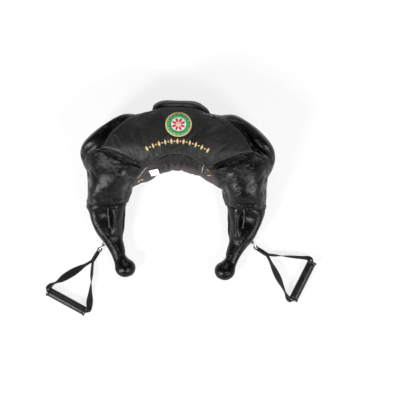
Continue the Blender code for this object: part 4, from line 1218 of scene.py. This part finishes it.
def make_flap():
    """The padded flap at the back, with a soft crease near its top."""
    share, climb = grid_of(np.linspace(-1, 1, 56), np.linspace(0, 1, 60))
    low = collar_outer(share * 2.0) + 0.060
    v = low + (FLAP_LOW - low) * climb
    end = np.where(share < 0, 0.84, 1.18) + 0.90 * np.clip((2.44 - v) / 0.22, 0, 1)
    end = end + np.where(share > 0, 0.22, 0.0) * np.clip((2.16 - v) / 0.14, 0, 1)
    k = share * end
    points, normal, along, around = skin_frame(k, v)
    distance = np.minimum((end - np.abs(k)) * along, np.minimum(v - low, FLAP_LOW - v) * around)
    height = FLAP_THICKNESS * (0.20 + 0.80 * (1 - np.exp(-(distance / 0.006) ** 1.4)))
    height += 0.0008 * lumps(points, 30, 31) * rise(distance, 0, 0.01)
    height -= 0.0022 * gauss(v, 2.14, 0.030)
    mesh = shell_mesh(points + normal * height[..., None], points + normal * PAD_GAP)
    item = make_object("back_flap_padded", *mesh, LEATHER_LOOK, "bag", ["back_flap"], "leather", sharp=60)


make_strips()
make_piping()
make_flap()


# Embroidery on the collar


# How far the embroidery's walls go down into the collar, and the rings of a raised
# shape inside its outline: shares of the outline and of the shape's height
WALL_DEPTH = 0.0006
RAISED_RINGS = [(1.0, 0.55), (0.90, 1), (0.75, 1.15), (0.60, 1.15), (0.45, 1.15), (0.30, 1.15),
                (0.15, 1.15)]


def embroidered(name, shapes, finish, height, replaces=(), lift=0.0):
    """Raised satin-stitched shapes, each an outline of points in plan, laid on the collar."""
    parts = []
    for outline in shapes:
        outline = np.array(outline)
        middle = outline.mean(axis=0)
        count = len(outline)
        rings = [(1.0, -WALL_DEPTH)] + [(scale, height * level) for scale, level in RAISED_RINGS]
        points = [dropped("collar", x, y, level + lift)[0]
                  for scale, level in rings for x, y in middle + (outline - middle) * scale]
        points.append(dropped("collar", *middle, height * RAISED_RINGS[-1][1] + lift)[0])
        points.append(dropped("collar", *middle, -WALL_DEPTH)[0])
        faces = ring_faces(len(rings), count, closed=False)
        top = (len(rings) - 1) * count
        for n in range(count):
            faces.append((top + n, top + (n + 1) % count, len(points) - 2))
            faces.append(((n + 1) % count, n, len(points) - 1))
        parts.append((points, faces))
    make_object(name, *joined(parts), finish, "bag", replaces, "patch")


def turns(count, start=0.0):
    """So many angles all the way round, the first one start steps from zero."""
    return [2 * math.pi * (n + start) / count for n in range(count)]


def circle(cx, cy, rx, ry, count):
    """The outline of a circle, or of an ellipse."""
    return [(cx + rx * math.cos(angle), cy + ry * math.sin(angle)) for angle in turns(count)]


def leaned(x, y, angle):
    """A point turned about zero."""
    cos, sin = math.cos(angle), math.sin(angle)
    return x * cos - y * sin, x * sin + y * cos


def raised_ring(cx, cy, inner, outer, count, height, lift):
    """A raised ring of embroidery round a centre, as satin stitches laid across it."""
    points = []
    profile = [(outer, -0.0005), (outer, height * 0.6), ((inner + outer) / 2, height),
               (inner, height * 0.6), (inner, -0.0005)]
    for n, angle in enumerate(turns(count)):
        twist = 0.00035 * (n % 2)
        for radius, level in profile:
            x = cx + (radius + twist) * math.cos(angle)
            y = cy + EMBLEM_Y * (radius + twist) * math.sin(angle)
            points.append(dropped("collar", x, y, level + lift)[0])
    return points, ring_faces(count, len(profile))


# The patch: its middle, its radius, its depth as a share of its width, and how many
# petals and studs it has, with the radius of the studs' circle
EMBLEM_PLACE = (0.0025, 0.0215)
EMBLEM_RADIUS = 0.0360
EMBLEM_Y = 0.93
PETALS = 8
STUDS = 16
STUD_CIRCLE = 0.0288


def make_emblem():
    """A round patch: gold rim, green ring, white field and a red rosette."""
    cx, cy = EMBLEM_PLACE
    radius = EMBLEM_RADIUS
    embroidered("emblem_field", [circle(cx, cy, radius, radius * EMBLEM_Y, 64)], WHITE_LOOK, 0.0012,
                ["emblem_patch"])
    rim = raised_ring(cx, cy, radius - 0.0036, radius + 0.0004, 150, 0.0012, 0.0010)
    make_object("emblem_rim", *rim, GOLD_LOOK, "bag", (), "patch")
    green = raised_ring(cx, cy, radius - 0.0150, radius - 0.0042, 120, 0.0007, 0.0019)
    make_object("emblem_green_ring", *green, GREEN_LOOK, "bag", (), "patch")
    petals = []
    for turn in turns(PETALS, 0.5):
        petal = [leaned(x, y, turn) for x, y in circle(0.0125, 0, 0.0065, 0.0034, 16)]
        petals.append([(cx + x, cy + EMBLEM_Y * y) for x, y in petal])
    embroidered("emblem_rosette", petals, RED_LOOK, 0.0008, lift=0.0013)
    studs = [circle(cx, cy, 0.0045, 0.0043, 20)]
    for x, y in circle(cx, cy, STUD_CIRCLE, EMBLEM_Y * STUD_CIRCLE, STUDS):
        studs.append(circle(x, y, 0.0017, 0.0017, 8))
    embroidered("emblem_gold_studs", studs, GOLD_LOOK, 0.0007, lift=0.0017)


# The ornament: so many lozenges and dots by turns, each with its half width, half
# height and the power that draws in its sides
ORNAMENTS = 21
LOZENGE, DOT = (0.0034, 0.0078, 1.7), (0.0023, 0.0023, 1.0)


def make_ornament():
    """A row of gold lozenges and dots that curves across the collar below the patch."""
    shapes = []
    for n in range(ORNAMENTS):
        share = n / (ORNAMENTS - 1) * 2 - 1
        cx, cy = 0.0845 * share + 0.001, -0.0245 - 0.0225 * share * share
        wide, tall, power = DOT if n % 2 else LOZENGE
        points = []
        for x, y in circle(0, 0, 1, 1, 16):
            x, y = (math.copysign(abs(a) ** power, a) for a in (x, y))
            x, y = leaned(wide * x, tall * y, -0.50 * share)
            points.append((cx + x, cy + y))
        shapes.append(points)
    embroidered("collar_gold_border", shapes, GOLD_LOOK, 0.0008)


make_emblem()
make_ornament()


# The ring, strap and handle of each side


def heading_vector(sign, degrees):
    """The level direction so many degrees outward from -Y."""
    angle = math.radians(degrees)
    return Vector((sign * math.sin(angle), -math.cos(angle), 0))


def lateral_vector(direction):
    """The level direction to the left of another one."""
    return Vector((-direction.y, direction.x, 0))


def ring_sag(width):
    """How far the ring bends away over a width."""
    half = width / 2
    return RING_RADIUS - math.sqrt(RING_RADIUS ** 2 - half ** 2)


def joint_place(name):
    """Where the part turns on one of its joints."""
    return Vector(next(j["pos_m"] for j in frame["joints"] if j["name"] == name))


def strap_stops(side, wire, handle_centre):
    """The strap's stops on a closed path: place, width, thickness and how far the
    webbing is turned flat, in degrees."""
    sign = side["sign"]
    neck = heading_vector(sign, side["neck"])
    neck_left = lateral_vector(neck)
    away = heading_vector(sign, side["handle"])
    across = lateral_vector(away)
    fold_width, fold = WEB_WIDTH / 2, 2 * WEB_THICKNESS
    eye = (WIRE_DIAMETER + fold) / 2 + EYE_SLACK
    eye_back = ring_sag(fold_width) * 1.25
    ply = (fold + PLY_GAP) / 2
    end = HANDLE_LENGTH / 2
    stops = [(wire - neck * (eye_back + eye), fold_width, fold, 0)]
    half = []
    for turn, twists in zip((-1, 1), side["twists"]):
        apex = wire + neck * NECK_LENGTH + neck_left * (turn * ply)
        bend = handle_centre + across * (turn * (end + CORNER_CLEARANCE)) - away * CORNER_DEPTH
        slant = math.sqrt(0.5)
        steps = [(-eye_back - eye * slant, eye * slant, 0), (-eye_back, eye, 0),
                 (eye * 0.1, eye * 0.96, 0), (eye * 0.95, (eye + ply) * 0.44, 0.4)]
        steps += [(NECK_LENGTH * along, ply * off, 1) for along, off in NECK_SHARES]
        rows = [(wire + neck * x + neck_left * (turn * y), fold_width, fold * (1 + 0.25 * tilt),
                 turn * NECK_TILT * tilt) for x, y, tilt in steps]
        arc = []
        for share, _, _ in CORNER_SHARES:
            angle = share * math.pi / 2
            centre = bend + across * (turn * CORNER_RADIUS * math.cos(angle))
            arc.append(centre + away * (CORNER_DEPTH * math.sin(angle)))
        for (share, wide, thick), flat in zip(LEG_SHARES, twists):
            rows.append((apex.lerp(arc[0], share), WEB_WIDTH * wide, WEB_THICKNESS * thick, turn * flat))
        for place, (_, wide, flat_share) in zip(arc, CORNER_SHARES):
            rows.append((place, fold_width * wide, fold, turn * twists[-1] * flat_share))
        for reach in (end - CAP_LENGTH * 2, end / 2):
            rows.append((handle_centre + across * (turn * reach), fold_width, fold, 0))
        half.append(rows)
    return stops + half[0] + [(handle_centre, fold_width, fold, 0)] + half[1][::-1]


def strap_rows(side, wire, handle_centre):
    """The stops with their heights, as rows of numbers."""
    rows = []
    for place, width, thickness, flat in strap_stops(side, wire, handle_centre):
        angle = math.radians(flat)
        own = STRAP_LIFT + width / 2 * math.cos(angle) + thickness / 2 * abs(math.sin(angle))
        near = (place - wire).length / NECK_LENGTH
        far = (place - handle_centre).length / (HANDLE_LENGTH / 2 + CORNER_RADIUS)
        ring_share = max(0.0, min(1.0, 1.35 * (1 - near)))
        handle_share = max(0.0, min(1.0, 2.2 - far * 1.2))
        level = own * (1 - ring_share) + wire.z * ring_share
        level = level * (1 - handle_share) + CAP_DIAMETER / 2 * handle_share
        rows.append([place.x, place.y, level, width, thickness, flat])
    return np.array(rows)


def loop_values(rows, per_stop):
    """Values on the closed smooth curve through the rows."""
    count = len(rows)
    values = []
    for n in range(count * per_stop):
        step, t = n // per_stop, (n % per_stop) / per_stop
        values.append(curve(*(rows[(step + m) % count] for m in (-1, 0, 1, 2)), t))
    return np.array(values)


# The strap's tacks: places along its neck, and half the length of each
TACK_SHARES = (0.42, 0.50, 0.66, 0.74)
TACK_HALF = 0.0045


def make_strap(name, side, wire, handle_centre):
    """A closed loop of webbing with a doubled, tacked neck and two twisted legs."""
    values = loop_values(strap_rows(side, wire, handle_centre), 7)
    directions = np.roll(values[:, :3], -1, axis=0) - np.roll(values[:, :3], 1, axis=0)
    directions[:, 2] = 0
    directions = unit(directions)
    up = np.array([0, 0, 1.0])
    out = np.stack([directions[:, 1], -directions[:, 0], np.zeros(len(values))], axis=1)
    angle = np.radians(values[:, 5])[:, None]
    across = up * np.cos(angle) + out * np.sin(angle)
    face = out * np.cos(angle) - up * np.sin(angle)
    mesh = band_mesh(values[:, :3], across, face, values[:, 3], values[:, 4] * 0.96, True)
    make_object(f"{name}_webbing", *mesh, WEB_LOOK, name, [name], "webbing", sharp=50)
    neck = heading_vector(side["sign"], side["neck"])
    left = lateral_vector(neck)
    tilt = math.radians(NECK_TILT)
    rising = Vector((0, 0, 1)) * math.cos(tilt) + left * math.sin(tilt)
    facing = left * math.cos(tilt) - Vector((0, 0, 1)) * math.sin(tilt)
    half_gap = WEB_THICKNESS * 2.2 + PLY_GAP / 2
    parts = []
    for turn in (-1, 1):
        for share in TACK_SHARES:
            middle = wire + neck * (NECK_LENGTH * share) + facing * (turn * half_gap)
            path = [middle + rising * z for z in (-TACK_HALF, -0.002, 0.002, TACK_HALF)]
            parts.append(tube_mesh(path, 0.00035, 5, ups=[left] * 4))
    make_sewn(f"{name}_tacks", parts, BLACK_LOOK, "webbing", name)


def make_ring(name, centre, forward, steps=64, sides=16):
    """A ring of round wire."""
    left = lateral_vector(forward)
    points = []
    for angle in turns(steps):
        radial = forward * math.cos(angle) + Vector((0, 0, math.sin(angle)))
        for turn in turns(sides):
            wall = (radial * math.cos(turn) + left * math.sin(turn)) * WIRE_DIAMETER / 2
            points.append(centre + radial * RING_RADIUS + wall)
    make_object(f"{name}_wire", points, ring_faces(steps, sides), STEEL_LOOK, name, [name], "steel")


def make_anchor(name, forward, wire):
    """The webbing loop that holds the ring, with its tails on the leather."""
    left = lateral_vector(forward)
    middle = WIRE_DIAMETER / 2 + EYE_SLACK / 2 + ring_sag(ANCHOR_WEB_WIDTH) + ANCHOR_WEB_THICKNESS / 2
    centres, faces_out = [], []
    for turn in (-1, 1):
        start = wire + left * (turn * middle)
        hit, _, _, _ = TREES["leather"].ray_cast(start + forward * 0.002, -forward)
        reach = (start - hit).length - 0.0006 if hit else 0.008
        tail = [(start - forward * (reach * share), left * turn) for share in (1.0, 0.75, 0.5, 0.25)]
        bend = []
        for step in range(6):
            angle = math.pi / 2 * (step / 5)
            away = left * (turn * math.cos(angle)) + forward * math.sin(angle)
            bend.append((wire + away * middle, away))
        rows = tail + bend
        if turn == 1:
            rows = rows[::-1][1:]
        centres += [row[0] for row in rows]
        faces_out += [row[1] for row in rows]
    count = len(centres)
    mesh = band_mesh(centres, [Vector((0, 0, 1))] * count, faces_out, [ANCHOR_WEB_WIDTH] * count,
                     [ANCHOR_WEB_THICKNESS] * count, False)
    make_object(f"{name}_webbing", *mesh, WEB_LOOK, "bag", [name], "webbing", sharp=50)


def make_handle(side_name, side, centre):
    """A stiff tube in a soft sleeve, with a cap on each end."""
    across = lateral_vector(heading_vector(side["sign"], side["handle"]))
    heading = math.atan2(across.y, across.x)
    body = f"handle_{side_name}"
    end = HANDLE_LENGTH / 2
    near = end - CAP_LENGTH
    low = TUBE_DIAMETER / 2 + 0.0003
    high = SLEEVE_DIAMETER / 2
    profile = [(-near + 0.0003, low), (-near + 0.0003, high - 0.0010), (-near + 0.0012, high - 0.0001)]
    for n in range(1, 24):
        share = n / 24
        x = -near + 0.0012 + (2 * near - 0.0024) * share
        swell = 0.00025 * math.sin(math.pi * share) - 0.0002 * gauss(share, 0.5, 0.02)
        profile.append((x, high - 0.0002 + swell))
    profile += [(near - 0.0012, high - 0.0001), (near - 0.0003, high - 0.0010), (near - 0.0003, low)]
    sleeve = turned_mesh(profile, centre, heading)
    make_object(f"handle_sleeve_{side_name}_foam", *sleeve, SLEEVE_LOOK, body,
                [f"handle_sleeve_{side_name}"], "foam", sharp=50)
    tube_end, wall = near - 0.0006, TUBE_DIAMETER / 2
    core = [(-tube_end, wall - 0.0015), (-tube_end, wall), (tube_end, wall), (tube_end, wall - 0.0015)]
    make_object(f"handle_tube_{side_name}_core", *turned_mesh(core, centre, heading), CAP_LOOK, body,
                [f"handle_tube_{side_name}"], "plastic", sharp=50)
    cap = CAP_DIAMETER / 2
    shape = [(near, HOLE_RADIUS), (near, cap - 0.0012), (near + 0.0003, cap - 0.0004),
             (near + 0.0010, cap), (end - 0.0024, cap), (end - 0.0010, cap - 0.0005),
             (end - 0.0003, cap - 0.0016), (end, cap - 0.0030), (end, HOLE_RADIUS + 0.0022),
             (end - 0.0004, HOLE_RADIUS + 0.0010), (end - 0.0014, HOLE_RADIUS)]
    for end_name, turn in (("a", -1), ("b", 1)):
        name = f"end_cap_{side_name}_{end_name}"
        points, faces = turned_mesh([(turn * x, radius) for x, radius in shape], centre, heading)
        if turn < 0:
            faces = turned_over(faces)
        make_object(f"{name}_moulded", points, faces, CAP_LOOK, body, [name], "plastic", sharp=40)


def make_side(side_name, side):
    """The loop, ring, strap and handle of one side, at the places of its joints."""
    forward = heading_vector(side["sign"], side["ring"])
    wire = joint_place(f"ring_turn_{side_name}")
    ring_centre = joint_place(f"strap_lift_{side_name}")
    handle_centre = joint_place(f"handle_spin_{side_name}")
    far_wire = ring_centre + forward * RING_RADIUS
    make_anchor(f"anchor_loop_{side_name}", forward, wire)
    make_ring(f"ring_{side_name}", ring_centre, forward)
    make_strap(f"strap_{side_name}", side, far_wire, handle_centre)
    make_handle(side_name, side, handle_centre)


for side_name, side in SIDES.items():
    make_side(side_name, side)


# Small sewn things on the leather


def make_threads():
    """Stitches beside the darts and seams, and the loose threads that show."""
    stitches, welts, crosses = [], [], []
    for sign in SIGNS.values():
        ks = np.linspace(*DART_SPAN, 60) - DART_SHIFT * sign
        for offset in (-0.045, 0.045):
            path = on_leather(sign * ks, dart_line(ks) + offset, 0.0002)
            stitches.append(stitch_mesh(*path, 0.0032, 0.0014, 0.0003))
        ks = np.linspace(*DART_SPAN, 70) - DART_SHIFT * sign
        path, ups = on_leather(sign * ks, dart_line(ks), 0.0008)
        welts.append(tube_mesh(path, 0.0021 + 0.0002 * np.sin(np.arange(len(ks)) * 1.3), 10, ups=ups))
    make_sewn("dart_stitches", stitches, BLACK_LOOK)
    # The welts' lighter grey is a painted highlight.
    make_sewn("dart_welts", welts, WELT_HIGHLIGHT_LOOK)
    inner_x = RIBS[1:8, 0]
    for n in range(-2, 5):
        x = PLEAT_START + PLEAT_PITCH * n
        k = math.copysign(float(np.interp(abs(x), inner_x, np.arange(7))), x)
        middle = float(pleat_place(x))
        _, _, along, around = skin_frame(k, middle)
        k_step, v_step = 0.0038 / float(along), 0.0052 / float(around)
        for tilt in (-1, 1):
            places = [middle - v_step, middle, middle + v_step]
            path, ups = on_leather([k - k_step * tilt, k, k + k_step * tilt], places, 0.0008)
            crosses.append(tube_mesh(path, 0.0012, 6, ups=ups))
    make_sewn("gusset_cross_stitches", crosses, BLACK_LOOK)
    path, ups = on_leather(np.linspace(-7.6, 5.7, 220), 0.968, 0.0004)
    make_sewn("gusset_seam_thread", [tube_mesh(path, 0.00034, 5, ups=ups)], WHITE_LOOK)


# The label's corners as places on the skin: upper left and right, lower left and right
LABEL_CORNERS = [(-5.32, 0.902), (-3.52, 0.807), (-6.20, 0.670), (-3.97, 0.480)]


def make_label():
    """A small blank tape tag, sewn down by its top edge, that stands off the gusset."""
    upper_left, upper_right, lower_left, lower_right = np.array(LABEL_CORNERS)
    run, climb = (a[..., None] for a in grid_of(np.linspace(0, 1, 20), np.linspace(0, 1, 14)))
    upper = upper_left + (upper_right - upper_left) * run
    lower = lower_left + (lower_right - lower_left) * run
    k, v = np.moveaxis(lower + (upper - lower) * climb, -1, 0)
    base, normal = on_leather(k, v)
    points = skin(k, v)
    lowest = np.max(np.sum((base - points) * normal, axis=-1))
    height = max(lowest, 0.0024) + 0.0012 + 0.0004 * np.sin(run[..., 0] * 7) * (1 - climb[..., 0])
    top = points + normal * height[..., None]
    mesh = shell_mesh(top, top - normal * 0.0005)
    make_object("care_label_tape", *mesh, LABEL_LOOK, "bag", ["care_label"], "label", sharp=60)


# Loose ends and stray stitches: the look, then places along and round the bag
STRAY_THREADS = [
    ("white", 0.0006, [(1.75, 1.921), (1.82, 1.927), (1.89, 1.934)]),
    ("white", 0.0007, [(1.98, 1.944), (2.05, 1.951), (2.12, 1.958)]),
    ("white", 0.0007, [(2.20, 1.965), (2.27, 1.971), (2.34, 1.976)]),
    ("white", 0.0006, [(2.43, 1.980), (2.50, 1.983), (2.57, 1.985)]),
    ("white", 0.0007, [(4.38, 1.015), (4.46, 0.950), (4.68, 0.890), (4.86, 0.840), (5.00, 0.780)]),
    ("yellow", 0.0014, [(-8.02, 0.800), (-7.80, 0.835), (-7.62, 0.860)]),
    ("yellow", 0.0014, [(-7.56, 0.800), (-7.45, 0.755), (-7.36, 0.700)]),
    ("yellow", 0.0014, [(6.28, 0.860), (6.38, 0.905), (6.49, 0.950)]),
    ("black", 0.0010, [(2.50, 1.93), (2.56, 1.99), (2.66, 2.01), (2.72, 1.95)]),
    ("black", 0.0010, [(2.84, 1.94), (2.90, 2.00), (3.00, 2.02), (3.06, 1.95)]),
    ("black", 0.0010, [(3.22, 1.93), (3.30, 2.00), (3.38, 2.01), (3.44, 1.94)]),
    ("black", 0.0010, [(3.60, 1.92), (3.66, 1.98), (3.76, 1.99), (3.82, 1.93)]),
]
STRAY_LOOKS = {"white": WHITE_LOOK, "yellow": YELLOW_LOOK, "black": BLACK_LOOK}
# How many steps a thread takes from one place to the next
STRAY_STEPS = 4


def make_stray_threads():
    """Threads that lie on the collar or the leather, whichever is higher there."""
    for colour, finish in STRAY_LOOKS.items():
        parts = []
        for own, radius, places in STRAY_THREADS:
            if own != colour:
                continue
            path = []
            for x, y, _ in skin(*np.array(places).T):
                high = dropped("leather", x, y, radius)[0]
                on_collar = TREES["collar"].ray_cast(Vector((x, y, 0.5)), Vector((0, 0, -1)))[0]
                if on_collar and on_collar.z > high.z:
                    high = dropped("collar", x, y, radius)[0]
                path.append(high)
            rows = np.array([path[0], *path, path[-1], path[-1]])
            marks = range(STRAY_STEPS * (len(path) - 1) + 1)
            smooth = [smooth_rows(rows, np.array(n / STRAY_STEPS)) for n in marks]
            parts.append(tube_mesh(smooth, radius, 6))
        make_sewn(f"stray_{colour}_threads", parts, finish, "patch")


make_threads()
make_label()
make_stray_threads()


# The floor, the light and the camera

# The floor's half size, and how much of its white is its own light, so that the
# shadows on it stay pale
FLOOR_HALF = 6.0
FLOOR_GLOW = 0.80
# The light from all round, and the white backdrop low down behind the floor
WORLD_GLOW = 0.04
BACKDROP_GLOW = 0.94
BACKDROP_EDGE = (0.30, 0.24)
# The lamps: place, what each is turned to, width, height and watts
LAMPS = {
    "left_softbox": ((-1.75, -1.85, 1.9), (0, -0.15, 0), 0.7, 0.9, 110),
    "right_softbox": ((1.65, -1.65, 2.05), (0, -0.15, 0), 0.7, 0.9, 68),
    "back_softbox": ((0.1, 2.0, 2.0), (0, 0.05, 0), 1.6, 0.8, 28),
}
CAMERA_PLACE = (0.068, -0.1856, 2.5)
CAMERA_TURN = 1.7
CAMERA_LENS = 75.0


def seen_or_mirrored(nodes):
    """One for what is seen, mirrored or seen through glass, and zero for what only lights."""
    path = nodes.add("LightPath").outputs
    shown = nodes.calc("MAXIMUM", path["Is Camera Ray"], path["Is Glossy Ray"])
    return nodes.calc("MAXIMUM", shown, path["Is Transmission Ray"])


def make_floor():
    """A wide white floor."""
    mesh = bpy.data.meshes.new("floor")
    corners = [(x * FLOOR_HALF, y * FLOOR_HALF, 0) for x, y in ((-1, -1), (1, -1), (1, 1), (-1, 1))]
    mesh.from_pydata(corners, [], [(0, 1, 2, 3)])
    floor = placed("floor", mesh)
    made, nodes, sockets = new_look("white_floor")
    tone = nodes.ramp(nodes.noise(3.0), [(0.3, (0.93, 0.91, 0.92)), (0.7, (0.94, 0.92, 0.93))])
    nodes.fill(sockets, {"Base Color": tone, "Roughness": 0.9, "Specular IOR Level": 0.0})
    share = nodes.calc("MULTIPLY", seen_or_mirrored(nodes), FLOOR_GLOW)
    glow = nodes.add("Emission", {"Color": (1, 1, 1, 1), "Strength": 1.0})
    shader, surface = (nodes.tree.nodes[name] for name in ("Principled BSDF", "Material Output"))
    mixed = nodes.add("MixShader", {0: share, 1: shader.outputs[0], 2: glow.outputs[0]})
    nodes.fill(surface.inputs, {"Surface": mixed.outputs[0]})
    mesh.materials.append(made)


def make_world():
    """Dim light from all round, and a white backdrop low down all round the floor."""
    world = bpy.data.worlds.new("studio")
    bpy.context.scene.world = world
    world.use_nodes = True
    nodes = Nodes(world.node_tree, "Generated")
    height = nodes.add("SeparateXYZ", {0: nodes.where}).outputs["Z"]
    low = nodes.spread(height, *BACKDROP_EDGE, kind="SMOOTHSTEP")
    shown = nodes.calc("MULTIPLY", seen_or_mirrored(nodes), low)
    level = nodes.spread(shown, to_low=WORLD_GLOW, to_high=BACKDROP_GLOW)
    nodes.fill(world.node_tree.nodes["Background"].inputs, {"Color": (1, 1, 1, 1), "Strength": level})


def make_light(name, place, target, wide, tall, watts):
    """A rectangular lamp that is turned to its target."""
    data = bpy.data.lights.new(name, "AREA")
    data.shape = "RECTANGLE"
    data.size = wide
    data.size_y = tall
    data.energy = watts
    lamp = placed(name, data)
    lamp.location = place
    lamp.rotation_euler = (Vector(target) - Vector(place)).to_track_quat("-Z", "Y").to_euler()


def make_camera():
    """The camera of the photograph's view, straight above the bag."""
    data = bpy.data.cameras.new("camera")
    data.lens = CAMERA_LENS
    camera = placed("camera", data)
    camera.location = CAMERA_PLACE
    camera.rotation_euler = (0, 0, math.radians(CAMERA_TURN))
    bpy.context.scene.camera = camera


make_floor()
make_world()
for lamp_name, lamp in LAMPS.items():
    make_light(lamp_name, *lamp)
make_camera()
bpy.context.scene.view_settings.view_transform = "Standard"
